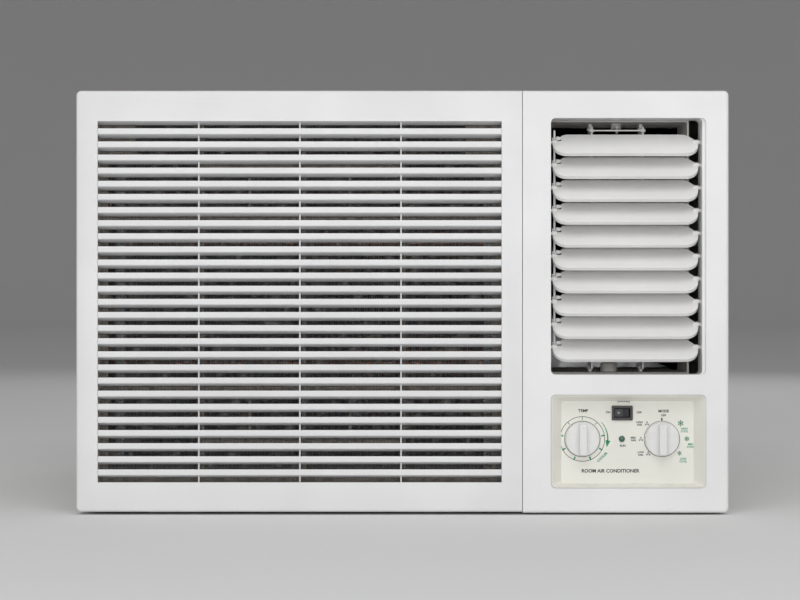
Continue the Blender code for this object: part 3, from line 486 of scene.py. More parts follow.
ZINC = ZincSheet("zinc_sheet", (0.60, 0.61, 0.62), 0.36, "galvanised_steel")
FIN_STOCK = BareMetal(
    "fin_stock", (0.84, 0.85, 0.86), 0.42, "fin_aluminium", (0.55, 0.55, 0.53), 0.25, (1.0, 14.0, 1.0), 0.45
)
COPPER = BareMetal("copper_tube", (0.80, 0.42, 0.27), 0.26, "copper", (0.22, 0.12, 0.08), 0.55)
STEEL = BareMetal("bright_steel", (0.58, 0.58, 0.58), 0.28, "galvanised_steel", (0.30, 0.27, 0.24), 0.3)
ENAMEL = CoatedSteel("black_enamel", (0.02, 0.02, 0.022), 0.3, "compressor_paint", peel=0.9)
RUBBER = MouldedPlastic("rubber_moulding", (0.02, 0.02, 0.02), 0.75, "rubber", grain=0.7, relief=0.05)
LENS = MouldedPlastic("green_lens", (0.035, 0.12, 0.07), 0.12, "lens_plastic", relief=0.002, coat=0.6, dust=0.0)
BLACK_INK = Ink("black_ink", (0.02, 0.02, 0.025), 0.5, "panel_plastic")
GREEN_INK = Ink("green_ink", (0.0, 0.27, 0.13), 0.5, "panel_plastic")
GREY_INK = Ink("grey_ink", (0.28, 0.29, 0.30), 0.5, "panel_plastic")
PAPER = Backdrop("studio_paper", (0.80, 0.80, 0.80), 0.9, "none")


# ------------------------------------------------------------------ modelling


class Part(Enum):
    """What an edit-mode selection is made of."""

    CORNERS = "VERT"
    EDGES = "EDGE"
    FACES = "FACE"


Test = Callable[[Vector, Vector], bool]


def everything(_place: Vector, _facing: Vector) -> bool:
    """Picks every element."""
    return True


def runs(axis: Axis) -> Test:
    """A test that picks edges that run along an axis, and faces that face along it."""
    return lambda _place, along: abs(along[axis.value]) > ALIGNED


def shift(by: Vector) -> Callable[[], object]:
    """A step that moves what is picked, by so many metres."""
    return lambda: bpy.ops.transform.translate(value=by)


def squeeze(ratio: Sequence[float], about: Vector) -> Callable[[], object]:
    """A step that stretches or squeezes what is picked, about a point in metres."""
    return lambda: bpy.ops.transform.resize(value=ratio, center_override=about)


def both_ends(low: float, high: float, profile: Sequence[Flat]) -> list[Flat]:
    """The profile of a turned shape that has the same form at both ends.

    Args:
        low: Where it starts along its axis.
        high: Where it ends.
        profile: Each ring's distance from its end, and its radius.

    Returns:
        The rings' places and radii.
    """
    start = [(low + along, wide) for along, wide in profile]
    return start + [(high - along, wide) for along, wide in reversed(profile)]


def box_of(node: str) -> tuple[Vector, Vector]:
    """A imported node's lowest and highest corners, in millimetres."""
    low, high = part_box(node)
    return low / MM, high / MM


def keep(node: str, finish: Finish) -> None:
    """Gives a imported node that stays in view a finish.

    Args:
        node: The node's name.
        finish: Its finish.
    """
    shown = frame["nodes"][node]
    shown.data.materials.clear()
    shown.data.materials.append(finish.material())
    LOG.info("%s keeps its packed shape", node)


class Piece:
    """A mesh that is modelled with Blender's operators. Its methods take millimetres, and most return it again."""

    def __init__(self, made: bpy.types.Object, name: str) -> None:
        """Takes over an object that was just made."""
        self.object = made
        made.name = name
        made.data.name = name
        self.apply()

    def apply(self) -> "Piece":
        """Moves the object's place, turn and size into its mesh."""
        self.choose()
        bpy.ops.object.transform_apply(location=True, rotation=True, scale=True)
        return self

    def choose(self) -> None:
        """Makes this the only selected object, and the active one."""
        bpy.ops.object.select_all(action="DESELECT")
        self.object.select_set(True)
        bpy.context.view_layer.objects.active = self.object

    @classmethod
    def block(cls, name: str, low: Sequence[float], high: Sequence[float]) -> "Piece":
        """Starts from a cube.

        Args:
            name: The piece's name.
            low: Its lowest corner.
            high: Its highest corner.

        Returns:
            The piece.
        """
        bpy.ops.object.select_all(action="DESELECT")
        middle = [(a + b) / 2 * MM for a, b in zip(low, high)]
        size = [(b - a) * MM for a, b in zip(low, high)]
        bpy.ops.mesh.primitive_cube_add(size=1.0, location=middle, scale=size)
        return cls(bpy.context.object, name)

    @classmethod
    def turned(
        cls,
        name: str,
        axis: Axis,
        centre: Sequence[float],
        profile: Sequence[Flat],
        sides: int = 32,
        ring: bool = False,
    ) -> "Piece":
        """Starts from a circle and extrudes it along an axis, ring by ring.

        Args:
            name: The piece's name.
            axis: The axis that it turns about.
            centre: A point on the axis.
            profile: The place along the axis and the radius of each ring.
            sides: How many sides the circle has.
            ring: Whether the last ring joins the first, as round a hole.

        Returns:
            The piece.
        """
        bpy.ops.object.select_all(action="DESELECT")
        turn = {Axis.X: (0, math.pi / 2, 0), Axis.Y: (math.pi / 2, 0, 0), Axis.Z: (0, 0, 0)}[axis]
        start, radius = profile[0]
        place = Vector(centre)
        place[axis.value] = start
        bpy.ops.mesh.primitive_circle_add(
            vertices=sides,
            radius=radius * MM,
            fill_type="NOTHING" if ring else "NGON",
            location=place * MM,
            rotation=turn,
        )
        made = bpy.context.object
        bpy.ops.object.mode_set(mode="EDIT")
        bpy.ops.mesh.select_mode(type="VERT")
        bpy.ops.mesh.select_all(action="SELECT")
        rings = list(profile[1:]) + ([profile[0]] if ring else [])
        for along, wide in rings:
            step = Vector((0, 0, 0))
            step[axis.value] = (along - place[axis.value]) * MM
            place[axis.value] = along
            bpy.ops.mesh.extrude_region_move(TRANSFORM_OT_translate={"value": step, "orient_type": "GLOBAL"})
            ratio = wide / radius
            bpy.ops.transform.resize(value=(ratio,) * 3, center_override=place * MM, orient_type="GLOBAL")
            radius = wide
        bpy.ops.mesh.select_all(action="SELECT")
        bpy.ops.mesh.remove_doubles(threshold=0.001 * MM)
        bpy.ops.mesh.normals_make_consistent(inside=False)
        bpy.ops.object.mode_set(mode="OBJECT")
        return cls(made, name)

    @classmethod
    def pipe(cls, name: str, points: Sequence[Sequence[float]], radius: float, smooth: bool = True) -> "Piece":
        """Starts from a curve through points, and makes it a round tube.

        Args:
            name: The piece's name.
            points: The points that its centre line is drawn by.
            radius: The tube's radius.
            smooth: Whether the line is a smooth curve or straight runs.

        Returns:
            The piece.
        """
        bpy.ops.object.select_all(action="DESELECT")
        bpy.ops.curve.primitive_nurbs_path_add()
        made = bpy.context.object
        curve = made.data
        curve.splines.clear()
        line = curve.splines.new("NURBS" if smooth else "POLY")
        line.points.add(len(points) - 1)
        for spot, point in zip(line.points, points):
            spot.co = (*(coordinate * MM for coordinate in point), 1.0)
        line.use_endpoint_u = True
        line.order_u = 3
        curve.resolution_u = 6
        curve.bevel_depth = radius * MM
        curve.bevel_resolution = 3
        curve.use_fill_caps = True
        bpy.ops.object.convert(target="MESH")
        return cls(bpy.context.object, name).tidy()

    @classmethod
    def words(cls, name: str, text: str, size: float, at: Sequence[float], turn: float = 0.0) -> "Piece":
        """Starts from text that faces the front.

        Args:
            name: The piece's name.
            text: The words.
            size: The height of a capital letter's line.
            at: The middle of the words.
            turn: How far the words lean, in degrees.

        Returns:
            The piece.
        """
        bpy.ops.object.select_all(action="DESELECT")
        bpy.ops.object.text_add()
        made = bpy.context.object
        made.data.body = text
        made.data.size = size * MM
        made.data.align_x = "CENTER"
        made.data.align_y = "CENTER"
        made.data.extrude = 0.04 * MM
        made.data.offset = 0.03 * size * MM
        made.data.resolution_u = 3
        bpy.ops.object.convert(target="MESH")
        made = bpy.context.object
        made.rotation_euler = (math.pi / 2, math.radians(-turn), 0)
        made.location = Vector(at) * MM
        return cls(made, name)

    def edit(self, kind: Part, test: Test, *steps: Callable[[], object]) -> "Piece":
        """Picks elements in edit mode and runs operators on them.

        Args:
            kind: What to pick.
            test: Says whether to pick an element, from its middle in millimetres and its normal or direction.
            steps: The operators to run, in order.

        Returns:
            The piece.
        """
        self.choose()
        bpy.ops.object.mode_set(mode="EDIT")
        bpy.ops.mesh.select_mode(type=kind.value)
        bpy.ops.mesh.select_all(action="DESELECT")
        bpy.ops.object.mode_set(mode="OBJECT")
        mesh = self.object.data
        if kind is Part.FACES:
            for face in mesh.polygons:
                face.select = test(face.center / MM, face.normal)
        elif kind is Part.EDGES:
            for edge in mesh.edges:
                a, b = (mesh.vertices[index].co for index in edge.vertices)
                edge.select = test((a + b) / 2 / MM, (b - a).normalized())
        else:
            for corner in mesh.vertices:
                corner.select = test(corner.co / MM, corner.normal)
        bpy.ops.object.mode_set(mode="EDIT")
        for step in steps:
            step()
        bpy.ops.object.mode_set(mode="OBJECT")
        return self

    def bevel(self, width: float, segments: int, test: Test) -> "Piece":
        """Rounds the edges that the test picks.

        Args:
            width: The bevel's width.
            segments: How many steps it has.
            test: Picks edges, by their middle and direction.

        Returns:
            The piece.
        """
        return self.edit(
            Part.EDGES,
            test,
            lambda: bpy.ops.mesh.bevel(offset=width * MM, segments=segments, clamp_overlap=True),
        )

    def split(self, axis: Axis, at: float) -> "Piece":
        """Divides the faces that cross a plane.

        Args:
            axis: The axis that the plane stands across.
            at: The plane's place along it.

        Returns:
            The piece.
        """
        place, facing = Vector(), Vector()
        place[axis.value], facing[axis.value] = at * MM, 1.0
        return self.edit(Part.FACES, everything, lambda: bpy.ops.mesh.bisect(plane_co=place, plane_no=facing))

    def modify(self, kind: str, **settings: object) -> "Piece":
        """Adds a modifier and applies it.

        Args:
            kind: The modifier's type.
            settings: Its properties, in metres where they are lengths.

        Returns:
            The piece.
        """
        self.choose()
        modifier = self.object.modifiers.new(kind.lower(), kind)
        for key, setting in settings.items():
            setattr(modifier, key, setting)
        bpy.ops.object.modifier_apply(modifier=modifier.name)
        return self

    def soften(self, width: float, segments: int = 2, angle: float = 32.0) -> "Piece":
        """Rounds every edge that is sharper than an angle.

        Args:
            width: The bevel's width.
            segments: How many steps it has.
            angle: The angle, in degrees.

        Returns:
            The piece.
        """
        return self.modify(
            "BEVEL", width=width * MM, segments=segments, limit_method="ANGLE", angle_limit=math.radians(angle)
        )

    def boolean(self, operation: str, *others: "Piece") -> "Piece":
        """Cuts, joins or crosses this piece with others, which are used up.

        Args:
            operation: DIFFERENCE, UNION or INTERSECT.
            others: The other pieces.

        Returns:
            The piece.
        """
        for other in others:
            self.modify("BOOLEAN", operation=operation, object=other.object, solver="EXACT")
            other.discard()
        return self

    def cut(self, *others: "Piece") -> "Piece":
        """Cuts others from this piece."""
        return self.boolean("DIFFERENCE", *others)

    def add(self, *others: "Piece") -> "Piece":
        """Joins others to this piece as one skin."""
        return self.boolean("UNION", *others)

    def gather(self, *others: "Piece") -> "Piece":
        """Takes others into this piece's object as separate shells."""
        self.choose()
        for other in others:
            other.object.select_set(True)
        bpy.ops.object.join()
        return self

    def repeat(self, count: int, step: Sequence[float]) -> "Piece":
        """Repeats the mesh in a row.

        Args:
            count: How many there are in all.
            step: The way from one to the next.

        Returns:
            The piece.
        """
        return self.modify(
            "ARRAY",
            count=count,
            use_relative_offset=False,
            use_constant_offset=True,
            constant_offset_displace=Vector(step) * MM,
        )

    def copy(self, name: str, move: Sequence[float] = (0, 0, 0)) -> "Piece":
        """A copy with its own mesh.

        Args:
            name: The copy's name.
            move: How far it stands from the first.

        Returns:
            The copy.
        """
        self.choose()
        bpy.ops.object.duplicate(linked=False)
        twin = Piece(bpy.context.object, name)
        return twin.move(move)

    def move(self, by: Sequence[float]) -> "Piece":
        """Moves the mesh."""
        self.object.location = Vector(by) * MM
        return self.apply()

    def turn(self, axis: Axis, degrees: float, about: Sequence[float]) -> "Piece":
        """Turns the mesh.

        Args:
            axis: The axis that it turns about.
            degrees: How far.
            about: A point that stays.

        Returns:
            The piece.
        """
        centre = Matrix.Translation(Vector(about) * MM)
        spun = Matrix.Rotation(math.radians(degrees), 4, axis.name)
        self.object.matrix_world = centre @ spun @ centre.inverted()
        return self.apply()

    def discard(self) -> None:
        """Removes the piece and its mesh."""
        mesh = self.object.data
        bpy.data.objects.remove(self.object)
        bpy.data.meshes.remove(mesh)

    def tidy(self, near: float = 0.0005, *steps: Callable[[], object]) -> "Piece":
        """Merges doubles and turns every face outwards.

        Args:
            near: How close together corners are merged.
            steps: Operators to run after that.

        Returns:
            The piece.
        """
        return self.edit(
            Part.FACES,
            everything,
            lambda: bpy.ops.mesh.select_all(action="SELECT"),
            lambda: bpy.ops.mesh.remove_doubles(threshold=near * MM),
            lambda: bpy.ops.mesh.normals_make_consistent(inside=False),
            *steps,
        )

    def done(
        self, finish: Finish, body: str, *stands_for: str, angle: float = 35.0, weigh: bool = True
    ) -> "Piece":
        """Shades and dresses the piece, and hangs it on its body.

        Args:
            finish: Its finish.
            body: The body that it moves with.
            stands_for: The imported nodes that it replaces.
            angle: Edges sharper than this, in degrees, stay sharp.
            weigh: Whether large flat faces keep their own normals.

        Returns:
            The piece.
        """
        self.choose()
        self.object.data.materials.clear()
        self.object.data.materials.append(finish.material())
        bpy.ops.object.shade_smooth_by_angle(angle=math.radians(angle))
        if weigh:
            self.modify("WEIGHTED_NORMAL", keep_sharp=True, weight=80)
        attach(self.object, body)
        if stands_for:
            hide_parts(*stands_for)
        LOG.info("%s: %d faces on %s", self.object.name, len(self.object.data.polygons), body)
        return self


def rounded_block(
    name: str, low: Sequence[float], high: Sequence[float], radius: float, axis: Axis, segments: int = 5
) -> Piece:
    """A block whose four edges along one axis are rounded.

    Args:
        name: The piece's name.
        low: Its lowest corner.
        high: Its highest corner.
        radius: The edges' radius.
        axis: The axis that the edges run along.
        segments: How many steps each one has.

    Returns:
        The piece.
    """
    return Piece.block(name, low, high).bevel(radius, segments, runs(axis))


def refined(
    node: str, name: str, finish: Finish, body: str, width: float, segments: int = 2, angle: float = 35.0
) -> Piece:
    """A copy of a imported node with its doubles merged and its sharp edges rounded.

    Args:
        node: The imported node, which the copy stands for.
        name: The copy's name.
        finish: Its finish.
        body: The body that it moves with.
        width: The edges' rounding.
        segments: How many steps the rounding has.
        angle: Edges sharper than this, in degrees, are rounded.

    Returns:
        The copy.
    """
    source = frame["nodes"][node]
    bpy.ops.object.select_all(action="DESELECT")
    source.select_set(True)
    bpy.context.view_layer.objects.active = source
    bpy.ops.object.duplicate(linked=False)
    twin = bpy.context.object
    twin.parent = None
    for key in list(twin.keys()):
        del twin[key]
    piece = Piece(twin, name)
    piece.tidy(0.004, lambda: bpy.ops.mesh.dissolve_limited(angle_limit=math.radians(2.0)))
    piece.soften(width, segments, angle)
    return piece.done(finish, body, node, angle=angle)


# ------------------------------------------------------------------ moulded front


@dataclass
class IntakeGrille:
    """The hinged grille: a shallow moulded tray, with a field of sloping slats and ribs set behind them."""

    slots: int = 28
    pitch: float = 13.26
    slot_height: float = 7.3
    first_top: float = 398.2
    slope: float = 3.2 / 12.5
    slat_depth: float = 12.5
    field_left: float = -308.2
    field_right: float = 100.3
    columns: int = 4
    rib: float = 1.5
    rib_setback: float = 6.0
    wall: float = 2.6
    corner: float = 5.0
    front_round: float = 3.0
    rib_depth: float = 6.2
    slat_nose: float = 0.75
    edge_round: float = 0.6

    def slat(self) -> Piece:
        """The uppermost slat: a thin blade with a rounded nose that slopes down towards the back."""
        front = box_of("intake_grille")[0].y
        top = self.first_top - self.slot_height
        bottom = self.first_top - self.pitch
        low = (self.field_left - 0.3, front, bottom)
        slat = Piece.block("slat", low, (self.field_right + 0.3, front + self.slat_depth, top))
        drop = Vector((0, 0, -self.slat_depth * self.slope * MM))
        slat.edit(Part.CORNERS, lambda place, _facing: place.y > front + 2, shift(drop))
        along_x = runs(Axis.X)
        slat.bevel(
            self.slat_nose,
            4,
            lambda place, along: along_x(place, along) and place.y < front + 1 and place.z < top - 3,
        )
        return slat.bevel(
            0.3,
            2,
            lambda place, along: along_x(place, along) and place.y < front + NEAR and place.z > top - NEAR,
        )

    def build(self) -> None:
        """Builds the grille's shell, slats and ribs."""
        low, high = box_of("intake_grille")
        seam_side = high.x
        shell = Piece.block("intake_grille_moulding", low, high)
        shell.bevel(self.corner, 6, lambda place, along: abs(along.y) > ALIGNED and place.x < seam_side - 1)
        shell.bevel(
            self.front_round, 4, lambda place, along: place.y < low.y + 0.01 and place.x < seam_side - 0.01
        )
        inset = Vector((self.wall, 0, self.wall))
        inner_low = low + inset + Vector((0, self.wall, 0))
        shell.cut(Piece.block("hollow", inner_low, high - inset + Vector((0, 5, 0))))
        bottom = self.first_top - self.slots * self.pitch
        window_low = (self.field_left, low.y - 2, bottom + self.pitch - self.slot_height)
        window_high = (self.field_right, low.y + 8, self.first_top)
        filter_low, filter_high = box_of("air_filter_frame")
        way = Piece.block(
            "filter_way",
            (filter_low.x - 1, filter_low.y - 1.6, low.z - 2),
            (filter_high.x + 1, filter_high.y + 0.6, low.z + self.wall + 1),
        )
        shell.cut(way)
        shell.soften(self.edge_round, 2, 40.0)
        shell.cut(Piece.block("slat_window", window_low, window_high))
        slats = self.slat().repeat(self.slots - 1, (0, 0, -self.pitch))
        edges = self.slat().move((0, 0.4, self.pitch)).repeat(2, (0, 0, -self.slots * self.pitch))
        shell.gather(slats, edges)
        column = (self.field_right - self.field_left - (self.columns - 1) * self.rib) / self.columns + self.rib
        first = self.field_left + column - self.rib
        rib = Piece.block(
            "rib",
            (first, low.y + self.rib_setback, bottom + 3),
            (first + self.rib, low.y + self.rib_setback + self.rib_depth, self.first_top + 2),
        )
        shell.gather(rib.repeat(self.columns - 1, (column, 0, 0)))
        for side, edge in (("left", low.x + 4), ("right", high.x - 16)):
            lug_low, lug_high = (edge + 5, high.y - 7, high.z - 12), (edge + 9, high.y, high.z - 2)
            shell.gather(rounded_block(f"hinge_lug_{side}", lug_low, lug_high, 2.0, Axis.X))
        shell.done(WHITE, Body.GRILLE, "intake_grille", angle=18.0, weigh=False)


@dataclass
class AirFilter:
    """The filter that slides down out of the grille: a moulded frame of bars with pull tabs, and its net."""

    edge_round: float = 0.5

    def build(self) -> None:
        """Refines the frame, and lets the net show its threads."""
        refined("air_filter_frame", "air_filter_bars", FILTER_BEIGE, Body.FILTER, self.edge_round)
        keep("air_filter_net", FILTER_NET)


@dataclass
class FrontFrame:
    """The fixed half of the front: one moulding with openings for the louvers and the controls, and a flange."""

    wall: float = 2.6
    corner: float = 5.0
    front_round: float = 3.0
    opening_left: float = 150.1
    opening_right: float = 306.9
    outlet: Flat = (141.7, 401.4)
    panel: Flat = (27.0, 121.4)
    flange_front: float = -296.0
    flange_right: float = 126.0
    arm_places: Flat = (-313.3, 104.3)
    arm_half: float = 2.2
    hinge: Flat = (-302.0, 423.5)

    def build(self) -> None:
        """Builds the moulding, its flange, the hinge arms and the cord gland."""
        low, high = box_of("front_frame")
        seam = box_of("intake_grille")[1].x + 0.6
        shell = Piece.block("front_moulding", (seam, low.y, low.z), high)
        shell.bevel(self.corner, 6, lambda place, along: abs(along.y) > ALIGNED and place.x > seam + 1)
        shell.bevel(self.front_round, 4, lambda place, along: place.y < low.y + 0.01 and place.x > seam + 0.01)
        inset = Vector((self.wall, 0, self.wall))
        inner_low = Vector((seam, low.y + self.wall, low.z)) + inset
        shell.cut(Piece.block("hollow", inner_low, high - inset + Vector((0, 5, 0))))
        for name, (bottom, top) in (("outlet_cutter", self.outlet), ("panel_cutter", self.panel)):
            edges = (self.opening_left, low.y - 2, bottom), (self.opening_right, low.y + 6, top)
            shell.cut(rounded_block(name, *edges, self.corner, Axis.Y, 6))
        gland_low, gland_high = box_of("power_cord_gland")
        middle = (gland_low + gland_high) / 2
        shell.cut(Piece.turned("gland_cutter", Axis.X, middle, [(high.x - 8, 6.6), (high.x + 3, 6.6)], 24))
        shell.soften(0.9, 3, 40.0)
        flange = Piece.block("flange", (low.x, self.flange_front, 4), (self.flange_right, high.y, high.z - 2))
        window_low = (low.x + 10, self.flange_front - 8, 26)
        flange.cut(Piece.block("flange_window", window_low, (112, high.y + 2, 412)))
        flange.soften(0.5)
        shell.gather(flange)
        for outward, place in zip((-1, 1), self.arm_places):
            left, right = place - self.arm_half, place + self.arm_half
            arm = Piece.block("hinge_arm", (left, -304.6, 415.5), (right, self.flange_front + 1, 422.7))
            arm.add(Piece.block("head", (left, -304.6, 419.5), (right, -300.1, 425.5)))
            rings = [(place, 2.0), (place + outward * 8.0, 2.0), (place + outward * 8.5, 1.6)]
            pin = Piece.turned("hinge_pin", Axis.X, (0, *self.hinge), rings, 16)
            shell.gather(arm.add(pin).soften(0.4))
        shell.done(WHITE_FRAME, Body.CHASSIS, "front_frame")
        profile = [
            (323.5, 4.2), (323.5, 9.0), (327.0, 9.0), (327.1, 6.4), (329.2, 6.3), (329.9, 5.6), (329.9, 4.9),
            (329.3, 4.2),
        ]
        gland = Piece.turned("cord_gland", Axis.X, middle, profile, 32, ring=True)
        gland.done(RUBBER, Body.CHASSIS, "power_cord_gland")


# ------------------------------------------------------------------ air outlet


@dataclass
class LouverSet:
    """Ten tilting louvers in their frame, with the bar that turns them together."""

    count: int = 10
    pitch: float = 23.19
    pivot: Point = (153.0, -331.0, 377.9)
    left: float = 153.0
    right: float = 301.0
    ahead: float = 18.0
    behind: float = 11.2
    lip: float = 1.5
    lip_drop: float = 2.9
    skin: float = 1.0
    tilt: float = 45.0
    end_round: float = 14.0
    tail_round: float = 5.0
    tail_inset: float = 11.5

    def blade(self, name: str) -> Piece:
        """The top louver: a thin blade with round corners and a lip turned down all round, pins and a crank lug.

        Args:
            name: The piece's name.

        Returns:
            The louver, tilted to its rest angle.
        """
        _x, y, z = self.pivot
        low = (self.left, y - self.ahead, z - self.lip_drop)
        blade = Piece.block(name, low, (self.right, y + self.behind, z + self.skin)).split(Axis.Y, y)
        taper = 1.0 - 2.0 * self.tail_inset / (self.right - self.left)
        middle = Vector(((self.left + self.right) / 2, y, z)) * MM
        blade.edit(Part.CORNERS, lambda place, _facing: place.y > y + 8, squeeze((taper, 1.0, 1.0), middle))
        blade.bevel(self.end_round, 8, lambda place, along: abs(along.z) > ALIGNED and place.y < y - 5)
        blade.bevel(self.tail_round, 5, lambda place, along: abs(along.z) > ALIGNED and place.y > y - 1)
        rise = Vector((0, 0, self.lip_drop - self.skin)) * MM
        blade.edit(
            Part.FACES,
            lambda _place, facing: facing.z < -ALIGNED,
            lambda: bpy.ops.mesh.inset(thickness=self.lip * MM),
            lambda: bpy.ops.mesh.extrude_region_move(TRANSFORM_OT_translate={"value": rise}),
        )
        notch_low = (self.left - 2, y + 1.2, z - 6)
        blade.cut(Piece.block("link_notch", notch_low, (self.left + 9.0, y + 20, z + 6)))
        blade.soften(0.5, 3, 30.0)
        left_pin = [(146.8, 1.4), (147.2, 1.8), (152.4, 1.8), (152.5, 2.9), (157.2, 2.9)]
        right_pin = [(304.6, 1.4), (304.2, 1.8), (301.6, 1.8), (301.5, 2.7), (295.8, 2.7)]
        blade.gather(
            Piece.turned("left_pin", Axis.X, (0, y, z), left_pin, 20),
            Piece.turned("right_pin", Axis.X, (0, y, z), right_pin, 20),
        )
        blade.turn(Axis.X, self.tilt, self.pivot)
        lug = Piece.block("crank_lug", (157.0, y + 4.5, z + 2.0), (166.0, y + 8.5, z + 6.6))
        end = Vector((166.0, y + 5.0, z + 4.6)) * MM
        lug.edit(Part.CORNERS, lambda place, _facing: place.x > 164, squeeze((1.0, 1.0, 0.35), end))
        rings = [(152.7, 0.9), (153.0, 1.2), (158.7, 1.2)]
        pin = Piece.turned("crank_pin", Axis.X, (0, y + 7.0, z + 4.2), rings, 14)
        return blade.gather(lug.soften(0.6), pin)

    def frame_ring(self) -> Piece:
        """The ring that the louvers turn in: a rolled rail on the right, and a bearing for each pin."""
        low, high = box_of("louver_frame")
        ring = Piece.block("louver_ring", low, high)
        rail = 303.4
        opening_low, opening_high = (150.2, low.y - 3, 141.9), (rail, high.y + 3, 401.2)
        ring.cut(rounded_block("ring_opening", opening_low, opening_high, 4.0, Axis.Y))
        _x, y, z = self.pivot
        slot = rounded_block("left_slots", (144.0, low.y - 4, z - 2.1), (152.0, y + 2.1, z + 2.1), 2.05, Axis.X, 4)
        ring.cut(slot.repeat(self.count, (0, 0, -self.pitch)))
        bearing = [(302.2, 2.0), (304.8, 2.0)]
        hole = Piece.turned("right_bearings", Axis.X, (0, y, z), bearing, 20)
        ring.cut(hole.repeat(self.count, (0, 0, -self.pitch)))

        def on_rail(place: Vector, along: Vector) -> bool:
            """Picks the rail's front edge."""
            return abs(along.z) > ALIGNED and abs(place.x - rail) < NEAR and place.y < low.y + NEAR

        ring.bevel(2.8, 6, on_rail)
        return ring.soften(0.4, 2, 40.0)

    def build(self) -> None:
        """Builds the ring and the louvers, and refines the bar."""
        self.frame_ring().done(WHITE_FRAME, Body.CHASSIS, "louver_frame")
        first = self.blade("louver_blade_01")
        others = [
            first.copy(f"louver_blade_{number + 1:02d}", (0, 0, -number * self.pitch))
            for number in range(1, self.count)
        ]
        for number, blade in enumerate([first, *others], 1):
            blade.done(LOUVER_WHITE, f"louver_{number:02d}", f"louver_{number:02d}")
        refined("louver_link", "louver_bar", LOUVER_WHITE, "louver_link", 0.25)


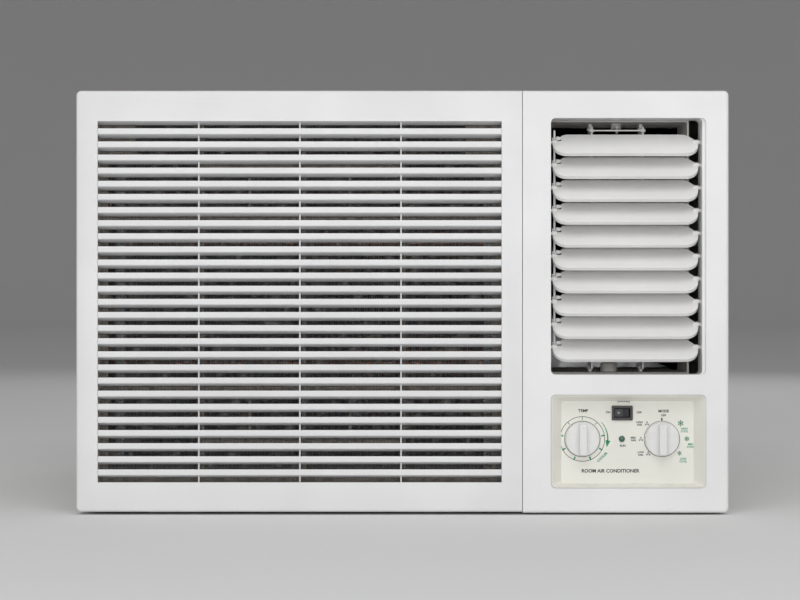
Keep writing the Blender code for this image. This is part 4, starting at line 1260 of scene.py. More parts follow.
@dataclass
class AirSwing:
    """The duct behind the louvers with its two upright vanes, their link, the crank and its motor."""

    vane_places: Flat = (195.2, 247.9)
    vane_pivot: float = -285.0
    thick: float = 1.6
    crank: Flat = (221.6, -290.0)
    link_ahead: float = 19.5

    def duct(self) -> Piece:
        """The duct, with holes for the vanes' and the crank's pins, a boss on its floor and ribs on its sides."""
        low, high = box_of("air_outlet_duct")
        duct = Piece.block("outlet_duct", low, high)
        wall = 2.0
        inner = Vector((wall, 0, wall))
        past = Vector((0, 5, 0))
        duct.cut(Piece.block("duct_bore", low + inner - past, high - inner + past))
        for x in self.vane_places:
            hole = [(low.z - 4, 2.4), (high.z + 4, 2.4)]
            duct.cut(Piece.turned("vane_hole", Axis.Z, (x, self.vane_pivot, 0), hole, 20))
        x, y = self.crank
        duct.cut(Piece.turned("crank_hole", Axis.Z, (x, y, 0), [(high.z - 6, 3.6), (high.z + 4, 3.6)], 20))
        duct.soften(0.5, 2, 40.0)
        boss = [(low.z + 1, 8.6), (low.z + 9.5, 8.4), (low.z + 11.0, 7.4), (low.z + 11.0, 3.0), (low.z + 8.0, 2.6)]
        duct.gather(Piece.turned("floor_boss", Axis.Z, (x - 7, y + 8, 0), boss, 28))
        for x0, x1 in ((low.x + 1.5, low.x + 3.4), (high.x - 3.4, high.x - 1.5)):
            rib = Piece.block("duct_rib", (x0, low.y + 48, low.z + 18), (x1, high.y, low.z + 19.6))
            duct.gather(rib.soften(0.3).repeat(6, (0, 0, 42.0)))
        return duct

    def vane(self, name: str, x: float) -> Piece:
        """One upright vane with a rounded nose, a thin tail and pins.

        Args:
            name: The piece's name.
            x: Its pivot.

        Returns:
            The vane.
        """
        y = self.vane_pivot
        bottom, top = 146.0, 396.0
        vane = Piece.block(name, (x - self.thick / 2, y - 22, bottom), (x + self.thick / 2, y + 23, top))
        middle = Vector((x, y, 270)) * MM
        vane.edit(Part.CORNERS, lambda place, _facing: place.y > y + 20, squeeze((0.45, 1.0, 1.0), middle))
        vane.cut(Piece.block("link_way", (x - 4, y - 25, 389.5), (x + 4, y - 15, 394.5)))
        vane.bevel(6.0, 5, lambda place, along: abs(along.x) > ALIGNED and not bottom + 1 <= place.z <= top - 1)
        vane.soften(0.5, 2, 40.0)
        pins = [(141.3, 1.7), (141.6, 2.0), (145.9, 2.0), (146.0, 3.2), (149.0, 3.2)]
        upper = [(401.7, 1.7), (401.4, 2.0), (396.1, 2.0), (396.0, 3.2), (393.0, 3.2)]
        clip = [(388.0, 1.2), (395.2, 1.2), (395.5, 0.9)]
        return vane.gather(
            Piece.turned("lower_pin", Axis.Z, (x, y, 0), pins, 18),
            Piece.turned("upper_pin", Axis.Z, (x, y, 0), upper, 18),
            Piece.turned("clip_pin", Axis.Z, (x, y - self.link_ahead, 0), clip, 14),
        )

    def link(self) -> Piece:
        """The thin bar between the vanes, with an eye round each pin."""
        low, high = box_of("vane_link")
        y = self.vane_pivot - self.link_ahead
        middle = (low.z + high.z) / 2
        bar_low = (low.x + 4.5, y - 1.4, middle - 0.7)
        bar = Piece.block("vane_bar", bar_low, (high.x - 4.5, y + 1.4, middle + 0.7))
        for x in self.vane_places:
            eye = [(middle - 1.4, 1.5), (middle - 1.4, 2.9), (middle + 1.4, 2.9), (middle + 1.4, 1.5)]
            bar.gather(Piece.turned("eye", Axis.Z, (x, y, 0), eye, 28, ring=True))
        return bar.soften(0.25)

    def crank_arm(self) -> Piece:
        """The crank: a hub on the motor's spindle, and an arm that carries the pin."""
        x, y = self.crank
        hub_rise = [(394.4, 4.6), (394.9, 5.2), (401.6, 5.2), (401.8, 3.0), (403.0, 3.0)]
        hub = Piece.turned("swing_crank_arm", Axis.Z, (x, y, 0), hub_rise, 36)
        arm = rounded_block("arm", (x - 2.4, y - 12.2, 394.5), (x + 2.4, y, 397.0), 2.3, Axis.Z).soften(0.3)
        pin = Piece.turned("pin", Axis.Z, (x, y - 9.75, 0), [(389.6, 0.9), (390.0, 1.2), (395.0, 1.2)], 16)
        return hub.gather(arm, pin)

    def motor(self) -> Piece:
        """The small swing motor: a pressed can with rounded rims."""
        low, high = box_of("swing_motor")
        x, y = self.crank
        rise = [
            (low.z, 3.6), (low.z, 21.0), (low.z + 1, 22.0), (high.z - 2.0, 22.0), (high.z - 0.4, 21.2),
            (high.z, 20.0), (high.z, 3.0),
        ]
        return Piece.turned("swing_motor_can", Axis.Z, (x, y, 0), rise, 48)

    def build(self) -> None:
        """Builds the duct, vanes and drive."""
        self.duct().done(DUCT_GREY, Body.CHASSIS, "air_outlet_duct")
        for side, x in zip(("left", "right"), self.vane_places):
            self.vane(f"upright_vane_{side}", x).done(LOUVER_WHITE, f"vane_{side}", f"vane_{side}")
        self.link().done(LOUVER_WHITE, "vane_link", "vane_link")
        self.crank_arm().done(DUCT_GREY, "swing_crank", "swing_crank")
        self.motor().done(ZINC, Body.CHASSIS, "swing_motor")


# ------------------------------------------------------------------ controls


@dataclass
class Dial:
    """What is printed round a point of the panel, such as a knob's axis."""

    x: float
    z: float
    face: float

    def at(self, right: float, up: float) -> Point:
        """A point on the panel's face, from the knob's middle."""
        return (self.x + right, self.face, self.z + up)

    def ring(self, name: str, radius: float, width: float, ink: Finish) -> None:
        """Prints a circle line.

        Args:
            name: The piece's name.
            radius: Its middle radius.
            width: The line's width.
            ink: Its ink.
        """
        front, back = self.face + INK_THICK, self.face
        inner, outer = radius - width / 2, radius + width / 2
        edge = [(back, inner), (back, outer), (front, outer), (front, inner)]
        line = Piece.turned(name, Axis.Y, (self.x, 0, self.z), edge, 72, ring=True)
        line.done(ink, Body.CHASSIS, weigh=False)

    def mark(self, angle: float, inner: float, outer: float, width: float) -> Piece:
        """A tick that points away from the knob.

        Args:
            angle: Its place, in degrees from the top.
            inner: Where it starts.
            outer: Where it ends.
            width: Its width.

        Returns:
            The tick.
        """
        low = (self.x - width / 2, self.face, self.z + inner)
        high = (self.x + width / 2, self.face + INK_THICK, self.z + outer)
        tick = Piece.block("tick", low, high).bevel(0.15, 2, runs(Axis.Y))
        return tick.turn(Axis.Y, angle, (self.x, self.face, self.z))

    def word(
        self, name: str, text: str, size: float, right: float, up: float, ink: Finish, turn: float = 0.0
    ) -> None:
        """Prints words.

        Args:
            name: The piece's name.
            text: The words.
            size: Their size.
            right: Their middle, to the right of the knob's.
            up: Their middle, above the knob's.
            ink: Their ink.
            turn: How far they lean, in degrees.
        """
        Piece.words(name, text, size, self.at(right, up), turn).done(ink, Body.CHASSIS, weigh=False)

    def arrow(self, radius: float, start: float, end: float, ink: Finish) -> None:
        """Prints a curved arrow whose line grows wider towards its head. Its piece is a tick that grew.

        Args:
            radius: Its middle radius.
            start: Where it starts, in degrees from the top.
            end: Where its head's tip is.
            ink: Its ink.
        """
        steps = 14
        head = 14.0
        span = end - start - head
        middle = (self.x, self.face, self.z)
        arrow = self.mark(start, radius - 0.25, radius + 0.25, 0.9)
        for step in range(1, steps + 1):
            half = 0.25 + 0.45 * step / steps
            arc = radius * math.radians(span / steps) + 0.1
            arrow.gather(self.mark(start + span * step / steps, radius - half, radius + half, arc))
        up = self.z + radius
        tip_low = (self.x - 3.4, self.face, up - 2.6)
        tip = Piece.block("tip", tip_low, (self.x + 3.4, self.face + INK_THICK, up + 2.6))
        point = Vector((self.x + 3.4, self.face, up)) * MM
        tip.edit(Part.CORNERS, lambda place, _facing: place.x > self.x, squeeze((1.0, 1.0, 0.05), point))
        arrow.gather(tip.turn(Axis.Y, end - head / 2, middle))
        arrow.done(ink, Body.CHASSIS, weigh=False)


@dataclass
class ControlPanel:
    """The recessed panel: tray, prints, two knobs, the run lamp and the swing switch."""

    knob_z: float = 76.0
    thermostat_x: float = 182.9
    selector_x: float = 263.8
    knob_radius: float = 17.3
    grip_front: float = -349.4
    floor_y: float = -336.5
    floor_low: Flat = (161.5, 31.0)
    floor_high: Flat = (296.0, 114.5)
    rocker: Flat = (223.45, 102.45)
    lens_x: float = 223.1
    print_lift: float = 0.05

    def tray(self) -> Piece:
        """The tray, whose walls slope in to its floor."""
        low, high = box_of("control_panel_tray")
        tray = rounded_block("control_tray", low, (high.x, self.floor_y + 2.3, high.z), 4.6, Axis.Y, 6)
        rim = 0.9
        (left, bottom), (right, top) = self.floor_low, self.floor_high
        floor_middle = Vector((left + right, 2 * self.floor_y, bottom + top)) / 2
        rim_middle = Vector(((low.x + high.x) / 2, self.floor_y, (low.z + high.z) / 2))
        ratio = ((right - left) / (high.x - low.x - 2 * rim), 1.0, (top - bottom) / (high.z - low.z - 2 * rim))
        sink = Vector((0, self.floor_y - low.y, 0)) * MM
        tray.edit(
            Part.FACES,
            lambda _place, facing: facing.y < -ALIGNED,
            lambda: bpy.ops.mesh.inset(thickness=rim * MM),
            lambda: bpy.ops.mesh.extrude_region_move(TRANSFORM_OT_translate={"value": sink}),
            squeeze(ratio, rim_middle * MM),
            shift((floor_middle - rim_middle) * MM),
        )
        x, z = self.rocker
        before, behind = self.floor_y - 4, self.floor_y + 8
        tray.cut(Piece.block("switch_hole", (x - 9.6, before, z - 6.4), (x + 9.6, behind, z + 6.4)))
        for knob_x, radius in ((self.thermostat_x, 3.6), (self.selector_x, 3.6), (self.lens_x, 3.4)):
            rings = [(before, radius), (behind, radius)]
            tray.cut(Piece.turned("shaft_hole", Axis.Y, (knob_x, 0, self.knob_z), rings))
        return tray.soften(0.7, 3, 25.0)

    def knob(self, name: str, x: float) -> Piece:
        """A round knob with a raised grip bar and a sunk dot.

        Args:
            name: The piece's name.
            x: Its axis.

        Returns:
            The knob.
        """
        z = self.knob_z
        radius = self.knob_radius
        back = self.floor_y - 0.3
        skirt = [
            (back, radius - 0.6), (back - 0.6, radius), (back - 4.4, radius - 0.25), (back - 5.2, radius - 0.7),
            (back - 5.6, radius - 1.6),
        ]
        disc = Piece.turned(name, Axis.Y, (x, 0, z), skirt, 72)
        reach = radius - 0.9
        grip_low = (x - 3.9, self.grip_front, z - reach)
        grip = rounded_block("grip", grip_low, (x + 3.9, back - 2.0, z + reach), 2.2, Axis.Y)
        front = Vector((x, self.grip_front, z)) * MM
        grip.edit(Part.FACES, lambda _place, facing: facing.y < -ALIGNED, squeeze((0.88, 1.0, 0.95), front))
        for side in (1, -1):
            scoop = [(z - 30.0, 20.0), (z + 30.0, 20.0)]
            centre = (x + side * 10.2, back - 5.6 - 18.2, 0)
            disc.cut(Piece.turned("scoop", Axis.Z, centre, scoop, 96))
        disc.add(grip)
        disc.cut(Piece.turned("dot", Axis.Y, (x, 0, z + 11.4), [(-351.0, 0.9), (-348.9, 0.9)], 20))
        disc.soften(0.8, 3, 35.0)
        rings = [(-338.0, 3.0), (-322.5, 3.0), (-322.0, 2.6)]
        return disc.gather(Piece.turned("spindle", Axis.Y, (x, 0, z), rings, 24))

    def switch(self) -> None:
        """Builds the swing switch: bezel, well and paddle with its mark."""
        x, z = self.rocker
        bezel = (x - 10.65, -338.2, z - 7.45), (x + 10.65, -336.6, z + 7.45)
        housing = rounded_block("switch_bezel", *bezel, 0.8, Axis.Y)
        housing.add(Piece.block("switch_body", (x - 9.2, -337.5, z - 6.0), (x + 9.2, -318.0, z + 6.0)))
        housing.cut(Piece.block("switch_well", (x - 7.9, -341, z - 4.7), (x + 7.9, -325, z + 4.7)))
        housing.soften(0.35, 2, 40.0).done(BLACK, Body.CHASSIS, "rocker_switch_housing")
        y = -334.0
        paddle = Piece.block("switch_paddle", (x - 7.2, y - 3.0, z - 4.3), (x + 7.2, y + 3.0, z + 4.3))
        middle = Vector((x, y, z)) * MM

        def in_middle(place: Vector, _facing: Vector) -> bool:
            """Picks what lies on the paddle's front, halfway across."""
            return abs(place.x - x) < NEAR and place.y < y

        paddle.split(Axis.X, x).edit(Part.CORNERS, in_middle, shift(Vector((0, 1.3 * MM, 0))))
        paddle.edit(Part.CORNERS, lambda place, _facing: place.y > y + 2, squeeze((0.89, 1, 1), middle))
        paddle.bevel(1.6, 5, lambda place, along: abs(along.z) > ALIGNED and in_middle(place, along))
        paddle.soften(0.45, 3, 30.0)
        paddle.turn(Axis.Z, -10.0, (x, y, z))
        paddle.done(BLACK, "swing_rocker", "swing_rocker")
        rings = [(y - 2.45, 0.7), (y - 2.45, 1.1), (y - 2.25, 1.1), (y - 2.25, 0.7)]
        mark = Piece.turned("switch_mark", Axis.Y, (x - 3.4, 0, z), rings, 28, ring=True)
        mark.turn(Axis.Z, -10.0, (x, y, z)).done(KNOB_WHITE, "swing_rocker", weigh=False)

    def fan_symbol(self, dial: Dial, right: float, up: float, size: float) -> Piece:
        """Three round blades about a hub.

        Args:
            dial: The dial that it is printed beside.
            right: Its middle, to the right of the knob's.
            up: Its middle, above the knob's.
            size: Its radius.

        Returns:
            The symbol.
        """
        x, y, z = dial.at(right, up)
        front = y + INK_THICK
        hub = Piece.turned("hub", Axis.Y, (x, 0, z), [(y, size * 0.2), (front, size * 0.2)], 14)
        for angle in (0, 120, 240):
            rings = [(y, size * 0.36), (front, size * 0.36)]
            blade = Piece.turned("blade", Axis.Y, (x, 0, z + size * 0.6), rings, 16)
            hub.gather(blade.turn(Axis.Y, angle, (x, y, z)))
        return hub

    def flake_symbol(self, dial: Dial, right: float, up: float, size: float) -> Piece:
        """A six-armed flake.

        Args:
            dial: The dial that it is printed beside.
            right: Its middle, to the right of the knob's.
            up: Its middle, above the knob's.
            size: Its radius.

        Returns:
            The symbol.
        """
        x, y, z = dial.at(right, up)
        left, right_edge, front = x - size * 0.1, x + size * 0.1, y + INK_THICK
        flake = Piece.block("arm", (left, y, z - size), (right_edge, front, z + size))
        for turn in range(3):
            arm = Piece.block("arm", (left, y, z - size), (right_edge, front, z + size))
            for end in (1, -1):
                fork = z + end * size * 0.55
                for lean in (45, -45):
                    twig = Piece.block("twig", (left, y, fork), (right_edge, front, fork + size * 0.36))
                    arm.gather(twig.turn(Axis.Y, lean if end > 0 else lean + 180, (x, y, fork)))
            flake.gather(arm.turn(Axis.Y, 60 * turn, (x, y, z)))
        return flake

    def prints(self) -> None:
        """Prints the scales, words and symbols."""
        face = self.floor_y - self.print_lift
        cold = Dial(self.thermostat_x, self.knob_z, face)
        cold.ring("scale_ring_outer", 22.7, 0.55, BLACK_INK)
        cold.ring("scale_ring_inner", 18.1, 0.55, BLACK_INK)
        ticks = [cold.mark(angle, 19.4, 22.4, 0.7) for angle in (0, 41.5, -41.5)]
        ticks += [cold.mark(side * angle, 19.4, 23.2, 1.5) for angle in (81, 119, 158) for side in (1, -1)]
        ticks[0].object.name = "scale_ticks"
        ticks[0].gather(*ticks[1:]).done(GREEN_INK, Body.CHASSIS, weigh=False)
        cold.arrow(25.9, 49.0, 108.0, GREEN_INK)
        cold.word("print_temperature", "TEMP", 4.2, 0.8, 28.6, BLACK_INK)
        cold.word("print_colder", "COOLER", 3.4, 20.2, -18.6, GREEN_INK, 44.0)
        mode = Dial(self.selector_x, self.knob_z, face)
        mode.ring("selector_ring", 18.1, 0.45, BLACK_INK)
        mode.word("print_mode", "MODE", 3.8, 1.8, 28.2, BLACK_INK)
        mode.word("print_mode_off", "OFF", 3.0, 1.6, 23.9, BLACK_INK)
        mode.mark(0.0, 18.6, 21.4, 1.5).done(BLACK_INK, Body.CHASSIS, weigh=False)
        spots = ((15.5, 15.0), (21.8, -0.8), (14.3, -15.6))
        speeds = ("HIGH", "MED", "LOW")
        for number, ((right, up), speed) in enumerate(zip(spots, speeds), 1):
            fan = self.fan_symbol(mode, -right + 0.4, up + 0.4, 2.6)
            fan.object.name = f"print_fan_{number}"
            fan.done(GREY_INK, Body.CHASSIS, weigh=False)
            flake = self.flake_symbol(mode, right + 3.6, up + 1.0, 3.5 - 0.4 * number)
            flake.object.name = f"print_flake_{number}"
            flake.done(GREEN_INK, Body.CHASSIS, weigh=False)
            mode.word(f"print_fan_label_{number}", f"{speed}\nFAN", 2.7, -right - 7.2, up + 0.6, BLACK_INK)
            mode.word(f"print_cool_label_{number}", f"{speed}\nCOOL", 2.7, right + 7.4, up - 6.0, GREEN_INK)
        x, z = self.rocker
        swing = Dial(x, z, face)
        swing.word("print_swing", "SWING", 3.9, 1.4, 12.0, BLACK_INK)
        swing.word("print_swing_on", "ON", 2.9, -14.4, 0.6, BLACK_INK)
        swing.word("print_swing_off", "OFF", 2.9, 17.2, 0.4, BLACK_INK)
        swing.word("print_run", "RUN", 2.8, 0.6, -33.4, BLACK_INK)
        cold.word("print_kind", "ROOM AIR CONDITIONER", 4.9, 28.5, -32.6, BLACK_INK)

    def build(self) -> None:
        """Builds everything on the panel."""
        self.tray().done(PANEL_CREAM, Body.CHASSIS, "control_panel_tray")
        for name, x in (("thermostat", self.thermostat_x), ("selector", self.selector_x)):
            self.knob(f"{name}_grip_knob", x).done(KNOB_WHITE, f"{name}_knob", f"{name}_knob")
        middle = (self.lens_x, 0, self.knob_z)
        dome = [(-328.0, 3.0), (-336.9, 3.05), (-337.6, 2.9), (-338.2, 2.4), (-338.5, 1.5), (-338.62, 0.6)]
        Piece.turned("run_lamp", Axis.Y, middle, dome, 40).done(LENS, Body.CHASSIS, "run_indicator_lens")
        collar = [(-336.4, 3.1), (-337.0, 3.2), (-337.05, 3.9), (-336.4, 4.1)]
        Piece.turned("lamp_collar", Axis.Y, middle, collar, 40, ring=True).done(KNOB_WHITE, Body.CHASSIS)
        self.switch()
        self.prints()
        refined("thermostat_body", "thermostat_case", ZINC, Body.CHASSIS, 0.8)
        refined("selector_switch_body", "selector_case", BLACK, Body.CHASSIS, 0.6)


# ------------------------------------------------------------------ studio


@dataclass
class Studio:
    """The camera, the lights and the pale floor."""

    eye: Point = (-2.5, -2550.0, 217.3)
    lens: float = 97.95
    floor_radius: float = 15000.0
    wall_round: float = 3000.0
    wall_height: float = 9000.0

    def camera(self) -> None:
        """Makes the camera, which looks straight at the front."""
        bpy.ops.object.camera_add(location=Vector(self.eye) * MM, rotation=(math.pi / 2, 0, 0))
        camera = bpy.context.object
        camera.data.lens = self.lens
        camera.data.sensor_width = 36.0
        bpy.context.scene.camera = camera

    def lamp(self, name: str, at: Point, aim: Point, size: Flat, watts: float) -> None:
        """Makes a soft rectangular light.

        Args:
            name: Its name.
            at: Its place, in metres.
            aim: The point that it faces, in metres.
            size: Its sides, in metres.
            watts: Its power.
        """
        away = Vector(aim) - Vector(at)
        bpy.ops.object.light_add(type="AREA", location=at, rotation=away.to_track_quat("-Z", "Y").to_euler())
        light = bpy.context.object
        light.name = name
        light.data.shape = "RECTANGLE"
        light.data.size, light.data.size_y = size
        light.data.energy = watts

    def floor(self) -> None:
        """Makes a floor that curves up into a wall all round."""
        curve = [
            (self.wall_round * (1 - math.cos(angle)), self.floor_radius + self.wall_round * math.sin(angle))
            for angle in map(math.radians, range(0, 91, 10))
        ]
        wall = [(self.wall_height, self.floor_radius + self.wall_round)]
        rings = [(0.0, 50.0), (0.0, 2500.0), *curve, *wall]
        bowl = Piece.turned("studio_floor", Axis.Z, (0, 0, 0), rings, 96)
        top = self.wall_height - 1
        bowl.edit(Part.FACES, lambda place, _facing: place.z > top, lambda: bpy.ops.mesh.delete(type="FACE"))
        bowl.edit(Part.FACES, everything, lambda: bpy.ops.mesh.normals_make_consistent(inside=True))
        bowl.object.data.materials.append(PAPER.material())
        bpy.ops.object.shade_smooth()

    def build(self) -> None:
        """Sets up the camera, floor, lights and sky."""
        self.camera()
        self.floor()
        middle = (0.0, -0.2, 0.2)
        self.lamp("front_light", (-0.4, -3.4, 1.6), middle, (3.0, 2.0), 19.0)
        self.lamp("low_light", (0.3, -3.5, 0.4), middle, (3.2, 0.7), 25.0)
        self.lamp("top_light", (0.0, -2.0, 2.6), (0.0, -1.0, 0.0), (3.0, 1.6), 30.4)
        self.lamp("left_light", (-3.2, -0.6, 1.2), middle, (2.0, 2.0), 7.3)
        self.lamp("right_light", (3.2, -0.8, 1.4), middle, (2.0, 2.0), 7.3)
        self.lamp("back_light", (0.6, 3.2, 2.0), middle, (2.6, 1.8), 14.5)
        world = bpy.data.worlds.new("studio_sky")
        world.use_nodes = True
        sky = world.node_tree.nodes["Background"]
        sky.inputs["Color"].default_value = (1.0, 1.0, 1.0, 1.0)
        sky.inputs["Strength"].default_value = 0.26
        bpy.context.scene.world = world
        bpy.context.scene.view_settings.view_transform = "Standard"


# ------------------------------------------------------------------ cabinet


def sheet_screw(name: str, axis: Axis, at: Point, outward: int, radius: float = 3.6) -> Piece:
    """A domed sheet-metal screw with a cross recess.

    Args:
        name: The piece's name.
        axis: The axis that it is driven along.
        at: The middle of its seat.
        outward: 1 or -1, the side that its head is on.
        radius: The head's radius.

    Returns:
        The screw.
    """
    start = at[axis.value]
    rise = [
        (0.0, radius * 1.25), (0.5, radius * 1.25), (0.55, radius), (1.3, radius * 0.92), (1.9, radius * 0.6),
        (2.1, 0.3),
    ]
    steps = [(start + outward * along, wide) for along, wide in rise]
    screw = Piece.turned(name, axis, at, steps, 24)
    for turned in (0, 1):
        low, high = Vector(at), Vector(at)
        low[axis.value], high[axis.value] = sorted((start + outward * 1.1, start + outward * 3.0))
        for number, across in enumerate(index for index in range(3) if index != axis.value):
            reach = radius * (0.55 if number == turned else 0.11)
            low[across] -= reach
            high[across] += reach
        screw.cut(Piece.block("recess", low, high))
    return screw


@dataclass
class Cabinet:
    """The sheet-steel sleeve with pressed vents, stiffening beads and screws, and the chassis' base pan."""

    sheet: float = 1.5
    corner: float = 4.0
    vent_columns: int = 2
    vent_rows: int = 8
    vent_start: Flat = (20.0, 110.0)
    vent_size: Flat = (110.0, 8.0)
    vent_pitch: Flat = (130.0, 28.0)
    hood: float = 4.2
    bead: float = 1.0

    def vents(self, name: str, x0: float, x1: float, grow: float) -> Piece:
        """The block of the first vent, which the others repeat.

        Args:
            name: The piece's name.
            x0: Its inner face.
            x1: Its outer face.
            grow: How far it is wider and taller than its slot.

        Returns:
            The block.
        """
        y, z = self.vent_start
        length, height = self.vent_size
        return Piece.block(name, (min(x0, x1), y - grow, z), (max(x0, x1), y + length + grow, z + height + grow))

    def spread(self, vent: Piece) -> Piece:
        """Repeats one vent over the side."""
        vent.repeat(self.vent_rows, (0, 0, self.vent_pitch[1]))
        return vent.repeat(self.vent_columns, (0, self.vent_pitch[0], 0))

    def sleeve(self) -> Piece:
        """The folded sleeve with its vents and hoods."""
        low, high = box_of("cabinet_sleeve")
        sleeve = Piece.block("sleeve_shell", low, high)
        sleeve.bevel(self.corner, 5, runs(Axis.Y))
        wall = Vector((self.sheet, 0, self.sheet))
        bore = Piece.block("bore", low + wall - Vector((0, 9, 0)), high - wall + Vector((0, 9, 0)))
        sleeve.cut(bore.bevel(self.corner - self.sheet, 4, runs(Axis.Y)))
        for side, edge in ((1, high.x), (-1, low.x)):
            sleeve.cut(self.spread(self.vents("slots", edge - side * 6, edge + side * 6, 0.0)))
        sleeve.soften(0.3, 2, 40.0)
        for side, edge in ((1, high.x), (-1, low.x)):
            tip = edge + side * self.hood
            hood = self.vents("hood", edge - side * 0.6, tip, 1.4)
            hood.bevel(
                3.4, 4, lambda place, along: abs(along.z) < 0.1 and abs(place.x - tip) < NEAR and place.z > 112
            )
            hood.bevel(2.6, 3, runs(Axis.Z))
            hollow = self.vents("hollow", edge - side * 2.0, tip - side * 1.1, 0.3)
            hollow.move((0, 0, -1.2))
            hollow.bevel(2.4, 3, lambda place, along: abs(along.z) < 0.1 and place.z > 112)
            sleeve.gather(self.spread(hood.cut(hollow)))
        return sleeve

    def beads(self) -> Piece:
        """Stiffening beads pressed across the top and up the sides."""
        low, high = box_of("cabinet_sleeve")
        bead_low = (low.x + 40, low.y + 95, high.z - 0.8)
        bead_high = (high.x - 40, low.y + 105, high.z + self.bead)
        bead = rounded_block("sleeve_beads", bead_low, bead_high, 4.5, Axis.Z)
        bead.soften(0.7, 3, 30.0).repeat(4, (0, 145.0, 0))
        for side, edge in ((1, high.x), (-1, low.x)):
            x0, x1 = sorted((edge - side * 0.8, edge + side * self.bead))
            rib = rounded_block("rib", (x0, low.y + 70, 60.0), (x1, low.y + 80, 365.0), 4.5, Axis.X)
            rib.soften(0.7, 3, 30.0).repeat(4, (0, 55.0, 0))
            bead.gather(rib)
        return bead

    def build(self) -> None:
        """Builds the sleeve, its screws and the pan."""
        low, high = box_of("cabinet_sleeve")
        self.sleeve().done(SLEEVE_PAINT, Body.CABINET, "cabinet_sleeve", angle=30.0)
        self.beads().done(SLEEVE_PAINT, Body.CABINET, angle=40.0)
        screws = [
            sheet_screw("sleeve_screws", Axis.X, (edge, y, z), side)
            for side, edge in ((1, high.x), (-1, low.x))
            for y in (low.y + 14, high.y - 12)
            for z in (40.0, 210.0, 380.0)
        ]
        screws[0].gather(*screws[1:]).done(STEEL, Body.CABINET)
        refined("base_pan", "chassis_pan", ZINC, Body.CHASSIS, 0.5)
        low, high = box_of("base_pan")
        rib_low = (low.x + 60, high.y - 290, low.z + 1.0)
        rib = rounded_block("pan_ribs", rib_low, (low.x + 330, high.y - 280, low.z + 4.0), 4.5, Axis.Z)
        rib.soften(1.2, 3, 30.0).repeat(4, (0, 48.0, 0)).done(ZINC, Body.CHASSIS)


# ------------------------------------------------------------------ refrigeration


def brazed_route(points: Sequence[Point], radius: float) -> list[Point]:
    """A tube's corner points, with more points put in so that its bends are round.

    Args:
        points: The corners.
        radius: How far before and after a corner its bend runs.

    Returns:
        The points to draw a smooth line by.
    """
    route = [points[0]]
    for before, corner, after in zip(points, points[1:], points[2:]):
        here = Vector(corner)
        back, ahead = Vector(before) - here, Vector(after) - here
        near = min(radius, back.length / 2.1, ahead.length / 2.1)
        route += [tuple(here + back.normalized() * near), tuple(here), tuple(here + ahead.normalized() * near)]
    return [*route, points[-1]]


@dataclass
class Coil:
    """A finned coil: many thin fins on rows of tubes, end sheets, and brazed return bends."""

    fins: str
    left: str
    right: str
    pitch: float
    rows: int = 14
    tube: float = 4.5
    tube_pitch: float = 25.0
    bend_reach: float = 5.0
    fin_thick: float = 0.25

    def tube_places(self, low: Vector, high: Vector) -> list[Flat]:
        """The tubes' places along Y and Z, in two staggered columns."""
        middle = (low.y + high.y) / 2
        bottom = (low.z + high.z) / 2 - (self.rows - 1) * self.tube_pitch / 2 - self.tube_pitch / 4
        return [
            (middle + side * 9.0, bottom + row * self.tube_pitch + (self.tube_pitch / 2 if side > 0 else 0.0))
            for side in (-1, 1)
            for row in range(self.rows)
        ]

    def bends(self, name: str, node: str, places: list[Flat], first: int, outward: int) -> None:
        """Builds one end sheet and its return bends.

        Args:
            name: The piece's name.
            node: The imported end.
            places: The tubes' places.
            first: The first tube that a bend joins to the next.
            outward: 1 or -1, the side that the bends stand out to.
        """
        low, high = box_of(node)
        face = low.x if outward > 0 else high.x
        sheet_low = (min(face, face + outward * 1.2), low.y, low.z)
        sheet_high = (max(face, face + outward * 1.2), high.y, high.z)
        sheet = Piece.block(f"{name}_sheet", sheet_low, sheet_high)
        for edge, into in ((low.y, 1), (high.y, -1)):
            y0, y1 = sorted((edge, edge + into * 1.2))
            x0, x1 = sorted((face, face + outward * 9.0))
            sheet.add(Piece.block("flange", (x0, y0, low.z), (x1, y1, high.z)))
        sheet.soften(0.35, 2, 40.0).done(ZINC, Body.CHASSIS)
        made = []
        radius = self.tube_pitch / 2
        start = face + outward * 0.6
        turn = face + outward * self.bend_reach
        wide = self.tube + 0.5
        cuff = [(start, wide), (face + outward * 5.0, wide), (face + outward * 5.6, self.tube - 0.2)]
        for column in (places[: self.rows], places[self.rows :]):
            for (y, z), _next in list(zip(column, column[1:]))[first::2]:
                arc = [
                    (turn + outward * radius * math.sin(angle), y, z + radius * (1 - math.cos(angle)))
                    for angle in map(math.radians, range(0, 181, 20))
                ]
                route = [(start, y, z), *arc, (start, y, z + 2 * radius)]
                made.append(Piece.pipe("bend", route, self.tube - 0.3))
                made += [Piece.turned("cuff", Axis.X, (0, y, foot), cuff, 20) for foot in (z, z + 2 * radius)]
        made[0].object.name = name
        made[0].gather(*made[1:]).done(COPPER, Body.CHASSIS, node)

    def build(self) -> None:
        """Builds the fins, tubes and both ends."""
        low, high = box_of(self.fins)
        places = self.tube_places(low, high)
        fin = Piece.block(f"{self.fins}_stack", low, (low.x + self.fin_thick, high.y, high.z))
        middle = (low.y + high.y) / 2
        bow = shift(Vector((0.45, 0, 0)) * MM)
        fin.split(Axis.Y, middle).edit(Part.CORNERS, lambda place, _facing: abs(place.y - middle) < NEAR, bow)
        fin.repeat(int((high.x - low.x - 1.0) / self.pitch) + 1, (self.pitch, 0, 0))
        fin.done(FIN_STOCK, Body.CHASSIS, self.fins, weigh=False)
        rings = [(low.x - 2, self.tube), (high.x + 2, self.tube)]
        tubes = [Piece.turned("tube", Axis.X, (0, y, z), rings, 20) for y, z in places]
        tubes[0].object.name = f"{self.fins}_tubes"
        tubes[0].gather(*tubes[1:]).done(COPPER, Body.CHASSIS)
        self.bends(f"{self.left}_brazed", self.left, places, 0, -1)
        self.bends(f"{self.right}_brazed", self.right, places, 1, 1)


